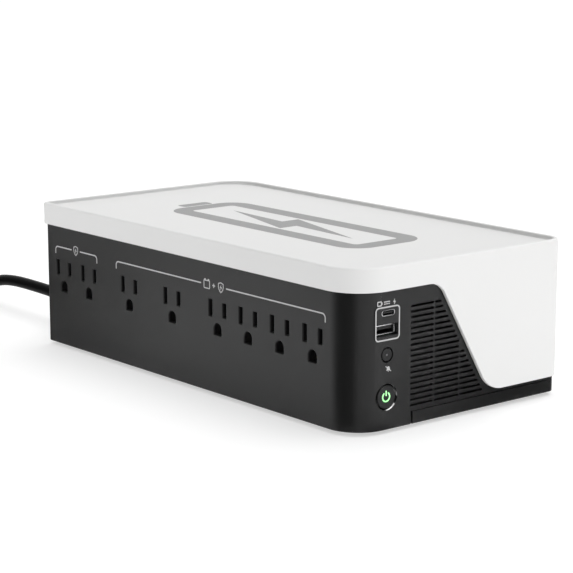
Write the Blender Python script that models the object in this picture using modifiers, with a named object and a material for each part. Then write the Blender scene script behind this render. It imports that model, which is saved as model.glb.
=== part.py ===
"""Desktop uninterruptible power supply: a black case with a row of outlets under a white tray-topped cover.

X runs across the case, Y from the front panel (-Y) to the rear (+Y), Z up from the surface it stands on.
The outlets are in the -X wall. Lengths are in metres.
"""

import math

import bmesh
import bpy
from mathutils import Matrix, Vector

MM = 0.001
GAP = 0.3 * MM

# Case
HALF_WIDTH = 76 * MM
HALF_LENGTH = 145 * MM
BASE_Z = 2 * MM
CASE_TOP_Z = 85.3 * MM
WALL = 2.5 * MM
FLOOR_TOP_Z = 5.5 * MM
CASE_RADII = (20 * MM, 4.5 * MM, 20 * MM, 1 * MM)

# White cover
OVERHANG = 2.5 * MM
COVER_WALL = 2.2 * MM
COVER_RADII = (22.5 * MM, 10 * MM, 22.5 * MM, 5 * MM)
COVER_INNER_RADII = (20.3 * MM, 4.8 * MM, 20.3 * MM, 1 * MM)
RIM_WIDTH = 2.8 * MM
TRAY_RADII = (19.7 * MM, 7.2 * MM, 19.7 * MM, 2.5 * MM)
RIM_TOP_Z = 90.2 * MM
TRAY_Z = 87.8 * MM
TRAY_UNDERSIDE_Z = 85.6 * MM
SKIRT_Z = 77 * MM
APRON_Z = 11.7 * MM
S_TOP_X, S_TOP_RADIUS = -17.9 * MM, 13 * MM
S_BOTTOM_X, S_BOTTOM_RADIUS = 20.2 * MM, 18 * MM

# Battery door: a plate under the case with lips up the front and the right side
DOOR_LEFT_X = -34.6 * MM
DOOR_REAR_Y = 35 * MM
DOOR_PLATE = 1.6 * MM
DOOR_LIP_Z = 9.1 * MM
BAY_LOW = (-32.5 * MM, -132 * MM)
BAY_HIGH = (71.5 * MM, 24 * MM)

# Feet and case screws
FOOT_RADIUS = 7 * MM
FOOT_PLACES = ((-58 * MM, -118 * MM), (-58 * MM, 126 * MM), (52 * MM, 122 * MM), (58 * MM, -124 * MM))
SCREW_PLACES = ((-65 * MM, -131.5 * MM), (-20 * MM, 137 * MM), (63 * MM, 132 * MM), (67 * MM, -137 * MM))
POST_RADIUS = 3.5 * MM
BOSS_RADIUS = 5 * MM
BOSS_TOP_Z = 9 * MM
SCREW_HEAD_RADIUS, SCREW_SHANK_RADIUS = 3 * MM, 1.5 * MM
SCREW_HEAD_HEIGHT, SCREW_LENGTH = 2.3 * MM, 15 * MM

# Outlets: the slots are 12.7 mm apart with the ground hole 11.9 mm under them
OUTLET_FIRST_Y = -111.3 * MM
OUTLET_STEPS = (27.4 * MM, 27.4 * MM, 27.4 * MM, 42.9 * MM, 42.9 * MM, 42.9 * MM, 27.4 * MM)
OUTLETS_ON_BATTERY = 6
SLOT_Z = 50.8 * MM
SLOT_SPACING = 12.7 * MM
SLOT_WIDTH = 2.9 * MM
NEUTRAL_HEIGHT, HOT_HEIGHT = 10 * MM, 8 * MM
GROUND_DROP = 11.9 * MM
GROUND_SIZE = 6.8 * MM
CARRIER_DEPTH = 20 * MM
CARRIER_LOW_Z, CARRIER_HIGH_Z = 31 * MM, 59.5 * MM
LEAF = 0.5 * MM
STRIP = 0.8 * MM

# Front panel
PANEL_X = -53.3 * MM
POWER_Z, POWER_RADIUS = 19.9 * MM, 6.6 * MM
MUTE_Z, MUTE_RADIUS = 42.6 * MM, 4.15 * MM
USB_C_X, USB_C_Z = -52.8 * MM, 65.1 * MM
USB_A_X, USB_A_Z = -53.2 * MM, 55.9 * MM
SYMBOL_RADIUS, SYMBOL_STROKE = 2.75 * MM, 0.9 * MM
SYMBOL_GAP = math.radians(38)
FRONT_BOARD_Y = -130.5 * MM

# Front vents: rows whose right ends follow the slanting edge of the cover
VENT_ROWS = 19
VENT_TOP_Z, VENT_PITCH, VENT_HEIGHT = 66.4 * MM, 2.99 * MM, 1 * MM
VENT_LEFT_X = -36.5 * MM
VENT_FIRST_END_X, VENT_END_STEP = -14.7 * MM, 1.775 * MM
VENT_RIBS = ((-20 * MM, -19 * MM), (-0.9 * MM, 0))
REAR_VENT_ROWS, REAR_VENT_EVERY = 6, 3
REAR_VENT_LEFT_X, REAR_VENT_HEIGHT = -27 * MM, 2 * MM

# Inside
BATTERY_LOW = Vector((-24.5 * MM, -130 * MM, 3.9 * MM))
BATTERY_SIZE = Vector((94 * MM, 151 * MM, 65 * MM))
TERMINAL_Y = (14 * MM, -123 * MM)
TERMINAL_Z = 60 * MM
BOARD_LOW = Vector((-44 * MM, 32 * MM, 11.7 * MM))
BOARD_HIGH = Vector((68 * MM, 126 * MM, 13.3 * MM))
BREAKER_X, BREAKER_Z = -38 * MM, 60 * MM

# Mains lead: it leaves the rear wall, drops to the surface and is wound into a coil behind the case,
# three turns wide and two turns high, with its plug beside it
CORD_X, CORD_Z = -40 * MM, 19.5 * MM
CORD_RADIUS = 3.7 * MM
RELIEF_END_Y = 172 * MM
TIE_THICKNESS = 0.8 * MM
COIL_RADIUS, COIL_HALF_WIDTH = 43.5 * MM, 3.1 * CORD_RADIUS
COIL_CENTRE = Vector((CORD_X - 14 * CORD_RADIUS, 325 * MM, 0))
COIL_BOTTOM_Z = 1.4 * MM
COIL_HEIGHT = 4 * CORD_RADIUS
LEAD_ROUTE = (
    (CORD_X, 172.3 * MM, 19.6 * MM),
    (CORD_X, 190 * MM, 19.9 * MM),
    (CORD_X, 215 * MM, 20.4 * MM),
    (CORD_X, 240 * MM, 20.3 * MM),
    (CORD_X, 258 * MM, 18.6 * MM),
    (CORD_X, 274 * MM, 14.4 * MM),
    (CORD_X, 286 * MM, 10 * MM),
    (CORD_X, 293.5 * MM, 7.4 * MM),
)
PLUG_X, PLUG_NECK_Y, PLUG_Z = -147.3 * MM, 290 * MM, 11 * MM
PLUG_BODY = Vector((26 * MM, 24 * MM, 22 * MM))
PLUG_NECK = 18 * MM
TAIL_ROUTE = (
    (PLUG_X, 300.3 * MM, 9.6 * MM),
    (PLUG_X, 295 * MM, 10.6 * MM),
    (PLUG_X, PLUG_NECK_Y + GAP, PLUG_Z),
)

COLORS = {
    "black_plastic": ((0.035, 0.035, 0.036), 0.5, 0),
    "white_plastic": ((0.85, 0.84, 0.83), 0.4, 0),
    "rubber": ((0.02, 0.02, 0.02), 0.8, 0),
    "steel": ((0.6, 0.6, 0.6), 0.3, 1),
    "brass": ((0.75, 0.55, 0.25), 0.3, 1),
    "green_light": ((0.3, 0.9, 0.35), 0.3, 0),
    "clear_plastic": ((0.5, 0.5, 0.5), 0.3, 0),
    "board": ((0.02, 0.15, 0.06), 0.5, 0),
    "grey_plastic": ((0.3, 0.3, 0.32), 0.5, 0),
    "copper": ((0.6, 0.25, 0.1), 0.4, 1),
    "aluminium": ((0.7, 0.7, 0.7), 0.4, 1),
    "red_lead": ((0.6, 0.02, 0.02), 0.5, 0),
    "cord_jacket": ((0.02, 0.02, 0.021), 0.5, 0),
}

PLANES = {
    "XY": Matrix.Identity(4),
    "XZ": Matrix(((1, 0, 0, 0), (0, 0, -1, 0), (0, 1, 0, 0), (0, 0, 0, 1))),
    "YZ": Matrix(((0, 0, 1, 0), (1, 0, 0, 0), (0, 1, 0, 0), (0, 0, 0, 1))),
}
AXIS_OF_PLANE = {"XY": 1, "XZ": -1, "YZ": 1}


# ---------------------------------------------------------------- modelling helpers


def clear_scene():
    for item in list(bpy.data.objects):
        bpy.data.objects.remove(item, do_unlink=True)


def collection(name):
    made = bpy.data.collections.new(name)
    bpy.context.scene.collection.children.link(made)
    return made


def material(name):
    made = bpy.data.materials.get(name)
    if made:
        return made
    color, roughness, metallic = COLORS[name]
    made = bpy.data.materials.new(name)
    made.use_nodes = True
    shader = made.node_tree.nodes["Principled BSDF"]
    shader.inputs["Base Color"].default_value = (*color, 1)
    shader.inputs["Roughness"].default_value = roughness
    shader.inputs["Metallic"].default_value = metallic
    return made


def new_object(name, mesh):
    made = bpy.data.objects.new(name, mesh)
    PARTS.objects.link(made)
    return made


def mesh_object(name, bm):
    bmesh.ops.recalc_face_normals(bm, faces=bm.faces)
    mesh = bpy.data.meshes.new(name)
    bm.to_mesh(mesh)
    bm.free()
    return new_object(name, mesh)


def box(name, low, high):
    low, high = Vector(low), Vector(high)
    bm = bmesh.new()
    place = Matrix.Translation((low + high) / 2) @ Matrix.Diagonal((*(high - low), 1))
    bmesh.ops.create_cube(bm, size=1, matrix=place)
    return mesh_object(name, bm)


def rod(name, start, end, radius, end_radius=None, sides=24):
    start, end = Vector(start), Vector(end)
    along = end - start
    turn = Vector((0, 0, 1)).rotation_difference(along).to_matrix().to_4x4()
    bm = bmesh.new()
    bmesh.ops.create_cone(
        bm,
        cap_ends=True,
        segments=sides,
        radius1=radius,
        radius2=radius if end_radius is None else end_radius,
        depth=along.length,
        matrix=Matrix.Translation((start + end) / 2) @ turn,
    )
    return mesh_object(name, bm)


def rounded_outline(corners, step=math.radians(11.25)):
    """A closed outline from (x, y, radius) corners, with each corner turned as an arc."""
    points = []
    for i, (x, y, radius) in enumerate(corners):
        corner = Vector((x, y))
        if radius == 0:
            points.append(corner)
            continue
        before = (Vector(corners[i - 1][:2]) - corner).normalized()
        after = (Vector(corners[(i + 1) % len(corners)][:2]) - corner).normalized()
        half = before.angle(after) / 2
        centre = corner + (before + after).normalized() * (radius / math.sin(half))
        start = corner + before * (radius / math.tan(half)) - centre
        end = corner + after * (radius / math.tan(half)) - centre
        sweep = math.copysign(math.pi - 2 * half, start.x * end.y - start.y * end.x)
        count = max(2, round(abs(sweep) / step))
        points += [centre + Matrix.Rotation(sweep * k / count, 2) @ start for k in range(count + 1)]
    return points


def curve_mesh(name, curve, place):
    """A curve object made into a welded mesh object; the curve is removed."""
    guide = bpy.data.objects.new(name + "_guide", curve)
    guide.matrix_world = place
    PARTS.objects.link(guide)
    bpy.context.view_layer.update()
    mesh = bpy.data.meshes.new_from_object(guide.evaluated_get(bpy.context.evaluated_depsgraph_get()))
    bpy.data.objects.remove(guide, do_unlink=True)
    bm = bmesh.new()
    bm.from_mesh(mesh)
    bm.transform(place)
    bmesh.ops.remove_doubles(bm, verts=bm.verts, dist=1e-6)
    return mesh_object(name, bm)


def prism(name, outline, plane, low, high):
    """A flat outline in a plane, pulled along the plane's third axis from low to high."""
    curve = bpy.data.curves.new(name, "CURVE")
    curve.dimensions = "2D"
    curve.fill_mode = "BOTH"
    curve.extrude = (high - low) / 2
    spline = curve.splines.new("POLY")
    spline.points.add(len(outline) - 1)
    for point, (x, y) in zip(spline.points, outline):
        point.co = (x, y, 0, 1)
    spline.use_cyclic_u = True
    middle = AXIS_OF_PLANE[plane] * (low + high) / 2
    return curve_mesh(name, curve, PLANES[plane] @ Matrix.Translation((0, 0, middle)))


def smooth_path(points, spacing):
    """Points a spacing apart along a smooth curve through the given points."""
    points = [Vector(p) for p in points]
    ends = [points[0] * 2 - points[1], *points, points[-1] * 2 - points[-2]]
    path = []
    for a, b, c, d in zip(ends, ends[1:], ends[2:], ends[3:]):
        count = max(1, round((c - b).length / spacing))
        for k in range(count):
            t = k / count
            square = (a * 2 - b * 5 + c * 4 - d) * t * t
            cube = (b * 3 - a - c * 3 + d) * t**3
            path.append((b * 2 + (c - a) * t + square + cube) / 2)
    return [*path, points[-1]]


def tube(name, points, radius, resolution=2):
    curve = bpy.data.curves.new(name, "CURVE")
    curve.dimensions = "3D"
    curve.bevel_depth = radius
    curve.bevel_resolution = resolution
    curve.use_fill_caps = True
    spline = curve.splines.new("POLY")
    spline.points.add(len(points) - 1)
    for point, place in zip(spline.points, points):
        point.co = (*place, 1)
    return curve_mesh(name, curve, Matrix.Identity(4))


def turned(name, profile, place, steps=24, closed=False):
    """A profile of (radius, height) points, listed from top to bottom, turned about the local Z axis."""
    bm = bmesh.new()
    corners = [bm.verts.new((radius, 0, height)) for radius, height in profile]
    for a, b in zip(corners, corners[1:] + corners[:1] if closed else corners[1:]):
        bm.edges.new((a, b))
    mesh = bpy.data.meshes.new(name)
    bm.to_mesh(mesh)
    bm.free()
    made = new_object(name, mesh)
    screw = made.modifiers.new("turn", "SCREW")
    screw.steps = screw.render_steps = steps
    screw.use_merge_vertices = True
    screw.merge_threshold = 1e-6
    made.matrix_world = place
    return made


def gather(name, pieces):
    """Separate solids put together in one object, for use as one cutter."""
    bm = bmesh.new()
    for piece in pieces:
        bm.from_mesh(piece.data)
        bpy.data.objects.remove(piece, do_unlink=True)
    return mesh_object(name, bm)


def combine(target, operation, tools):
    for tool in tools:
        modifier = target.modifiers.new(operation.lower(), "BOOLEAN")
        modifier.operation = operation
        modifier.object = tool
        tool.hide_render = True
        tool.display_type = "WIRE"
        PARTS.objects.unlink(tool)
        CUTTERS.objects.link(tool)


def cut(target, *tools):
    combine(target, "DIFFERENCE", tools)


def fuse(target, *tools):
    combine(target, "UNION", tools)


def bevel(target, width, segments=1, angle=30):
    modifier = target.modifiers.new("bevel", "BEVEL")
    modifier.width = width
    modifier.segments = segments
    modifier.limit_method = "ANGLE"
    modifier.angle_limit = math.radians(angle)


def finish(target, slot):
    """Gives a sub-part its material and, on its round stretches, smooth shading."""
    target.data.materials.clear()
    target.data.materials.append(material(slot))
    target.data.shade_smooth()
    target.data.set_sharp_from_angle(angle=math.radians(30))
    return target


# ---------------------------------------------------------------- shared outlines


def plan_outline(half_width, half_length, radii):
    """Front left, front right, rear right and rear left corners of a plan."""
    places = ((-1, -1), (1, -1), (1, 1), (-1, 1))
    return rounded_outline([(sx * half_width, sy * half_length, r) for (sx, sy), r in zip(places, radii)])


def case_outline(inset=0):
    radii = [max(radius - inset, 0.5 * MM) for radius in CASE_RADII]
    return plan_outline(HALF_WIDTH - inset, HALF_LENGTH - inset, radii)


def rectangle(x, y, width, height, radius=0):
    corners = [(x - width / 2, y - height / 2), (x + width / 2, y - height / 2)]
    corners += [(x + width / 2, y + height / 2), (x - width / 2, y + height / 2)]
    return rounded_outline([(px, py, radius) for px, py in corners], math.radians(22.5))


def outlet_places():
    """The outlets' places along Y, front to rear."""
    places = [OUTLET_FIRST_Y]
    for step in OUTLET_STEPS:
        places.append(places[-1] + step)
    return places


def ground_outline(y, z, size):
    """A hole with a round top and a flat bottom."""
    half = size / 2
    arch = half * 0.95
    corners = [(y - half, z - half, 0), (y + half, z - half, 0)]
    corners += [(y + half, z + half, arch), (y - half, z + half, arch)]
    return rounded_outline(corners, math.radians(22.5))


# ---------------------------------------------------------------- case


def outlet_hole_tools():
    tools = []
    for y in outlet_places():
        for side, height in ((1, NEUTRAL_HEIGHT), (-1, HOT_HEIGHT)):
            at = y + side * SLOT_SPACING / 2
            outline = rectangle(at, SLOT_Z, SLOT_WIDTH, height)
            tools.append(prism("slot", outline, "YZ", -HALF_WIDTH - WALL, -HALF_WIDTH + 2 * WALL))
        outline = ground_outline(y, SLOT_Z - GROUND_DROP, GROUND_SIZE)
        tools.append(prism("ground", outline, "YZ", -HALF_WIDTH - WALL, -HALF_WIDTH + 2 * WALL))
    return gather("outlet_holes", tools)


def vent_row(row):
    """A vent row's height and its right end."""
    return VENT_TOP_Z - row * VENT_PITCH, VENT_FIRST_END_X + row * VENT_END_STEP


def vent_tools():
    tools = []
    for row in range(VENT_ROWS):
        z, end = vent_row(row)
        starts = [VENT_LEFT_X] + [rib[1] for rib in VENT_RIBS]
        stops = [rib[0] for rib in VENT_RIBS] + [end]
        for start, stop in zip(starts, stops):
            if min(stop, end) - start > 2 * MM:
                low = (start, -HALF_LENGTH - WALL, z - VENT_HEIGHT / 2)
                high = (min(stop, end), -HALF_LENGTH + 2 * WALL, z + VENT_HEIGHT / 2)
                tools.append(box("vent", low, high))
    for row in range(0, REAR_VENT_ROWS * REAR_VENT_EVERY, REAR_VENT_EVERY):
        z, end = vent_row(row)
        low = (REAR_VENT_LEFT_X, HALF_LENGTH - 2 * WALL, z - REAR_VENT_HEIGHT / 2)
        tools.append(box("rear_vent", low, (end, HALF_LENGTH + WALL, z + REAR_VENT_HEIGHT / 2)))
    return gather("vents", tools)


def panel_hole_tools():
    front, back = -HALF_LENGTH - WALL, -HALF_LENGTH + 2 * WALL
    tools = [
        rod("power_hole", (PANEL_X, front, POWER_Z), (PANEL_X, back, POWER_Z), POWER_RADIUS, sides=32),
        rod("mute_hole", (PANEL_X, front, MUTE_Z), (PANEL_X, back, MUTE_Z), MUTE_RADIUS),
        prism("usb_c_hole", rectangle(USB_C_X, USB_C_Z, 9.8 * MM, 3.6 * MM, 1.7 * MM), "XZ", front, back),
        prism("usb_a_hole", rectangle(USB_A_X, USB_A_Z, 14.6 * MM, 6.2 * MM, 0.4 * MM), "XZ", front, back),
    ]
    low, high = HALF_LENGTH - 2 * WALL, HALF_LENGTH + WALL
    tools.append(rod("cord_hole", (CORD_X, low, CORD_Z), (CORD_X, high, CORD_Z), 6 * MM))
    tools.append(rod("breaker_hole", (BREAKER_X, low, BREAKER_Z), (BREAKER_X, high, BREAKER_Z), 5.6 * MM))
    return gather("panel_holes", tools)


def door_recess_tools():
    out = HALF_LENGTH + WALL
    rear = DOOR_REAR_Y + GAP
    under = BASE_Z - MM
    plate_top = BASE_Z + DOOR_PLATE + GAP
    lip_top = DOOR_LIP_Z + GAP
    return (
        box("door_plate_recess", (DOOR_LEFT_X - GAP, -out, under), (out, rear, plate_top)),
        box("door_front_recess", (DOOR_LEFT_X - GAP, -out, under), (out, -HALF_LENGTH + WALL + GAP, lip_top)),
        box("door_side_recess", (HALF_WIDTH - WALL - GAP, -out, under), (out, rear, lip_top)),
        box(
            "door_corner_recess",
            (HALF_WIDTH - 1.6 * WALL, -out, under),
            (out, -HALF_LENGTH + 1.6 * WALL, lip_top + MM),
        ),
        box("battery_bay", (*BAY_LOW, under), (*BAY_HIGH, FLOOR_TOP_Z + 2 * MM)),
    )


def under_floor(x, y):
    """The height of the underside of the case at a place: the door's recess is higher than the rest."""
    over_door = x > DOOR_LEFT_X and y < DOOR_REAR_Y
    return BASE_Z + DOOR_PLATE + GAP if over_door else BASE_Z


def screw_boss_pieces():
    """Bosses on the case floor, and the stepped holes up through them."""
    bosses, holes = [], []
    for x, y in SCREW_PLACES:
        low = under_floor(x, y)
        bosses.append(rod("boss", (x, y, low + 0.5 * MM), (x, y, BOSS_TOP_Z), BOSS_RADIUS))
        head_top = low + SCREW_HEAD_HEIGHT + 2 * GAP
        shank_hole = SCREW_SHANK_RADIUS + GAP
        holes.append(rod("screw_hole", (x, y, 0), (x, y, BOSS_TOP_Z + MM), shank_hole, sides=16))
        holes.append(rod("head_recess", (x, y, 0), (x, y, head_top), SCREW_HEAD_RADIUS + GAP, sides=16))
    return bosses, holes


def main_shell():
    shell = prism("main_shell", case_outline(), "XY", BASE_Z, CASE_TOP_Z)
    cut(shell, prism("case_hollow", case_outline(WALL), "XY", FLOOR_TOP_Z, CASE_TOP_Z + WALL))
    cut(shell, *door_recess_tools())
    bosses, holes = screw_boss_pieces()
    standoffs = [
        rod("standoff", (x, y, FLOOR_TOP_Z - MM), (x, y, BOARD_LOW.z - GAP), 3 * MM, sides=16)
        for x in (BOARD_LOW.x + 6 * MM, BOARD_HIGH.x - 6 * MM)
        for y in (BOARD_LOW.y + 9 * MM, BOARD_HIGH.y - 6 * MM)
    ]
    fuse(shell, *bosses, *standoffs)
    cut(shell, *holes, outlet_hole_tools(), vent_tools(), panel_hole_tools())
    return finish(shell, "black_plastic")


def s_curve_tool():
    """Everything under the cover's lower edge: the skirt, the S at the front and rear, the long low edge."""
    far = 0.12
    outline = rounded_outline(
        [
            (-far, -MM, 0),
            (far, -MM, 0),
            (far, APRON_Z, 0),
            (S_BOTTOM_X, APRON_Z, S_BOTTOM_RADIUS),
            (S_TOP_X, SKIRT_Z, S_TOP_RADIUS),
            (-far, SKIRT_Z, 0),
        ],
        math.radians(7.5),
    )
    return prism("s_curve", outline, "XZ", -2 * HALF_LENGTH, 2 * HALF_LENGTH)


def top_cover():
    half_width, half_length = HALF_WIDTH + OVERHANG, HALF_LENGTH + OVERHANG
    cover = prism("top_cover", plan_outline(half_width, half_length, COVER_RADII), "XY", BASE_Z, RIM_TOP_Z)
    inner = plan_outline(half_width - COVER_WALL, half_length - COVER_WALL, COVER_INNER_RADII)
    tray = plan_outline(half_width - RIM_WIDTH, half_length - RIM_WIDTH, TRAY_RADII)
    cut(
        cover,
        prism("cover_hollow", inner, "XY", 0, TRAY_UNDERSIDE_Z),
        prism("tray", tray, "XY", TRAY_Z, RIM_TOP_Z + MM),
        s_curve_tool(),
    )
    posts = [
        rod("post", (x, y, BOSS_TOP_Z + GAP), (x, y, TRAY_UNDERSIDE_Z + MM), POST_RADIUS, sides=16)
        for x, y in SCREW_PLACES
    ]
    holes = [
        rod("pilot", (x, y, 0), (x, y, SCREW_LENGTH + 7 * MM), SCREW_SHANK_RADIUS + GAP, sides=16)
        for x, y in SCREW_PLACES
    ]
    fuse(cover, *posts)
    cut(cover, *holes)
    return finish(cover, "white_plastic")


def battery_door():
    """A plate with lips up the front and the right side. It slides out forwards."""
    door = prism("battery_cover", case_outline(), "XY", BASE_Z, DOOR_LIP_Z)
    out = HALF_LENGTH + WALL
    keep_out = gather(
        "door_trim",
        [
            box("left", (-out, -out, 0), (DOOR_LEFT_X, DOOR_REAR_Y - 10 * MM, DOOR_LIP_Z + MM)),
            box("rear", (-out, DOOR_REAR_Y, 0), (out, out, DOOR_LIP_Z + MM)),
        ],
    )
    cut(door, keep_out)
    cut(door, box("left_rear", (-out, 0, 0), (DOOR_LEFT_X, out, DOOR_LIP_Z + MM)))
    inner = prism("door_hollow", case_outline(DOOR_PLATE), "XY", BASE_Z + DOOR_PLATE, DOOR_LIP_Z + MM)
    grips = gather(
        "grips",
        [
            box("grip", (-12 * MM, y, BASE_Z - MM), (28 * MM, y + 2 * MM, BASE_Z + 0.7 * MM))
            for y in [-100 * MM + 5 * MM * k for k in range(5)]
        ],
    )
    cut(door, inner, grips)
    return finish(door, "black_plastic")


def feet():
    for number, (x, y) in enumerate(FOOT_PLACES, 1):
        foot = rod(f"foot_{number}", (x, y, 0), (x, y, BASE_Z - GAP), FOOT_RADIUS - 0.6 * MM, FOOT_RADIUS)
        finish(foot, "rubber")


def case_screws():
    for number, (x, y) in enumerate(SCREW_PLACES, 1):
        low = under_floor(x, y) + GAP
        top = low + SCREW_HEAD_HEIGHT
        screw = rod(f"case_screw_{number}", (x, y, low), (x, y, top), SCREW_HEAD_RADIUS, sides=16)
        fuse(screw, rod("shank", (x, y, top - MM), (x, y, low + SCREW_LENGTH), SCREW_SHANK_RADIUS, sides=12))
        cut(screw, box("drive", (x - 2 * MM, y - 0.4 * MM, 0), (x + 2 * MM, y + 0.4 * MM, low + MM)))
        finish(screw, "steel")


# ---------------------------------------------------------------- buttons and ports


def symbol_tools(margin, front, back):
    """The arc and the bar of a power symbol, as two solids."""
    outer = SYMBOL_RADIUS + SYMBOL_STROKE / 2 + margin
    inner = SYMBOL_RADIUS - SYMBOL_STROKE / 2 - margin
    count = 18
    start = math.pi / 2 + SYMBOL_GAP
    sweep = 2 * (math.pi - SYMBOL_GAP)
    turns = [start + sweep * k / count for k in range(count + 1)]
    arc = [(PANEL_X + outer * math.cos(a), POWER_Z + outer * math.sin(a)) for a in turns]
    arc += [(PANEL_X + inner * math.cos(a), POWER_Z + inner * math.sin(a)) for a in reversed(turns)]
    width = SYMBOL_STROKE + 2 * margin
    bar = rectangle(PANEL_X, POWER_Z + 1.8 * MM, width, 3 * MM + 2 * margin)
    return prism("arc", arc, "XZ", front, back), prism("bar", bar, "XZ", front, back)


def power_button():
    front = -HALF_LENGTH
    back = (PANEL_X, front + 7 * MM, POWER_Z)
    button = rod("power_button", (PANEL_X, front, POWER_Z), back, 6.15 * MM, sides=32)
    flange_y = front + WALL + 1.2 * MM
    flange_end = (PANEL_X, flange_y + 1.3 * MM, POWER_Z)
    fuse(button, rod("flange", (PANEL_X, flange_y, POWER_Z), flange_end, 7.2 * MM, sides=32))
    hollow = rod("hollow", (PANEL_X, front + 1.2 * MM, POWER_Z), (PANEL_X, front + 8 * MM, POWER_Z), 5 * MM)
    cut(button, hollow, *symbol_tools(0.15 * MM, front - MM, front + 2 * MM))
    finish(button, "black_plastic")

    lens_y = front + 1.5 * MM
    lens = rod("power_lens", (PANEL_X, lens_y, POWER_Z), (PANEL_X, lens_y + 1.2 * MM, POWER_Z), 4.6 * MM)
    fuse(lens, *symbol_tools(0, front, lens_y + 0.5 * MM))
    finish(lens, "green_light")


def mute_button():
    front = -HALF_LENGTH
    button = rod("mute_button", (PANEL_X, front, MUTE_Z), (PANEL_X, front + 6 * MM, MUTE_Z), 3.5 * MM)
    flange_y = front + WALL + 0.6 * MM
    fuse(button, rod("flange", (PANEL_X, flange_y, MUTE_Z), (PANEL_X, flange_y + 1.2 * MM, MUTE_Z), 4.7 * MM))
    lens_hole = (PANEL_X, front - MM, MUTE_Z), (PANEL_X, front + 7 * MM, MUTE_Z)
    cut(button, rod("lens_hole", *lens_hole, 0.8 * MM, sides=12))
    finish(button, "black_plastic")
    lens = rod("mute_lens", (PANEL_X, front, MUTE_Z), (PANEL_X, front + 6 * MM, MUTE_Z), 0.55 * MM, sides=12)
    finish(lens, "clear_plastic")


def port_shell(name, x, z, width, height, radius, wall, front):
    back = FRONT_BOARD_Y - GAP
    outline = rectangle(x, z, width, height, radius)
    inner = rectangle(x, z, width - 2 * wall, height - 2 * wall, max(radius - wall, 0.1 * MM))
    shell = prism(name, outline, "XZ", front, back)
    cut(shell, prism("port_hollow", inner, "XZ", front - MM, back - 0.5 * MM))
    finish(shell, "steel")
    return back - 0.5 * MM


def usb_ports():
    back = port_shell("usb_a_shell", USB_A_X, USB_A_Z, 13.6 * MM, 5.4 * MM, 0.4 * MM, 0.4 * MM, -142.9 * MM)
    tongue_z = USB_A_Z + 0.9 * MM
    low = (USB_A_X - 5.5 * MM, -141.8 * MM, tongue_z - 0.9 * MM)
    finish(box("usb_a_tongue", low, (USB_A_X + 5.5 * MM, back - GAP, tongue_z + 0.9 * MM)), "black_plastic")

    back = port_shell("usb_c_shell", USB_C_X, USB_C_Z, 9.4 * MM, 3.3 * MM, 1.6 * MM, 0.42 * MM, -145 * MM)
    low = (USB_C_X - 3.3 * MM, -144.2 * MM, USB_C_Z - 0.35 * MM)
    finish(box("usb_c_tongue", low, (USB_C_X + 3.3 * MM, back - GAP, USB_C_Z + 0.35 * MM)), "black_plastic")


def front_board():
    low = (-60.8 * MM, FRONT_BOARD_Y, 12 * MM)
    finish(box("front_board", low, (-38 * MM, FRONT_BOARD_Y + 1.6 * MM, 74 * MM)), "board")
    for name, z, reach in (("power_switch", POWER_Z, 5.4 * MM), ("mute_switch", MUTE_Z, 6.2 * MM)):
        low = (PANEL_X - 3 * MM, FRONT_BOARD_Y - reach, z - 3 * MM)
        high = (PANEL_X + 3 * MM, FRONT_BOARD_Y - GAP, z + 3 * MM)
        switch = box(name, low, high)
        bevel(switch, 0.4 * MM)
        finish(switch, "grey_plastic")


# ---------------------------------------------------------------- outlets


def carrier(name, places):
    """A block behind the outlet slots of one bank, with a pocket for each contact."""
    front = -HALF_WIDTH + WALL + GAP
    back = front + CARRIER_DEPTH
    reach = SLOT_SPACING
    block = box(
        name, (front, places[0] - reach, CARRIER_LOW_Z), (back, places[-1] + reach, CARRIER_HIGH_Z)
    )
    pockets = []
    for y in places:
        for side, height in ((1, NEUTRAL_HEIGHT), (-1, HOT_HEIGHT)):
            outline = rectangle(y + side * SLOT_SPACING / 2, SLOT_Z, 5.4 * MM, height + 1.2 * MM)
            pockets.append(prism("pocket", outline, "YZ", front - MM, back + MM))
        outline = rectangle(y, SLOT_Z - GROUND_DROP, 7.8 * MM, 7.4 * MM)
        pockets.append(prism("ground_pocket", outline, "YZ", front - MM, back + MM))
    cut(block, gather(name + "_pockets", pockets))
    return finish(block, "grey_plastic")


def contact_strip(name, places, offset, low_z, high_z, leaf_z, leaf_half_height, spread):
    """A strip along the back of the carriers with a pair of leaves into each pocket."""
    back = -HALF_WIDTH + WALL + GAP + CARRIER_DEPTH + GAP
    first, last = places[0] + offset - 6 * MM, places[-1] + offset + 6 * MM
    strip = box(name, (back, first, low_z), (back + STRIP, last, high_z))
    leaves = []
    for y in places:
        for side in (-1, 1):
            near = y + offset + side * spread
            low = (back - CARRIER_DEPTH + 3 * MM, min(near, near + side * LEAF), leaf_z - leaf_half_height)
            high = (back + STRIP / 2, max(near, near + side * LEAF), leaf_z + leaf_half_height)
            leaves.append(box("leaf", low, high))
    fuse(strip, gather(name + "_leaves", leaves))
    return finish(strip, "brass")


def outlets():
    places = outlet_places()
    on_battery, surge_only = places[:OUTLETS_ON_BATTERY], places[OUTLETS_ON_BATTERY:]
    carrier("carrier_battery", on_battery)
    carrier("carrier_surge", surge_only)
    side = SLOT_SPACING / 2
    upper_z, lower_z = SLOT_Z + 2.6 * MM, SLOT_Z - 2 * MM
    contact_strip("neutral_strip", places, side, 52 * MM, 60 * MM, upper_z, 2 * MM, 1 * MM)
    contact_strip("hot_strip_battery", on_battery, -side, 42 * MM, 49.5 * MM, lower_z, 2 * MM, 1 * MM)
    contact_strip("hot_strip_surge", surge_only, -side, 42 * MM, 49.5 * MM, lower_z, 2 * MM, 1 * MM)
    ground_z = SLOT_Z - GROUND_DROP
    contact_strip("ground_strip", places, 0, 31 * MM, 38 * MM, ground_z, 2.5 * MM, 3.1 * MM)


# ---------------------------------------------------------------- inside


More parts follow.
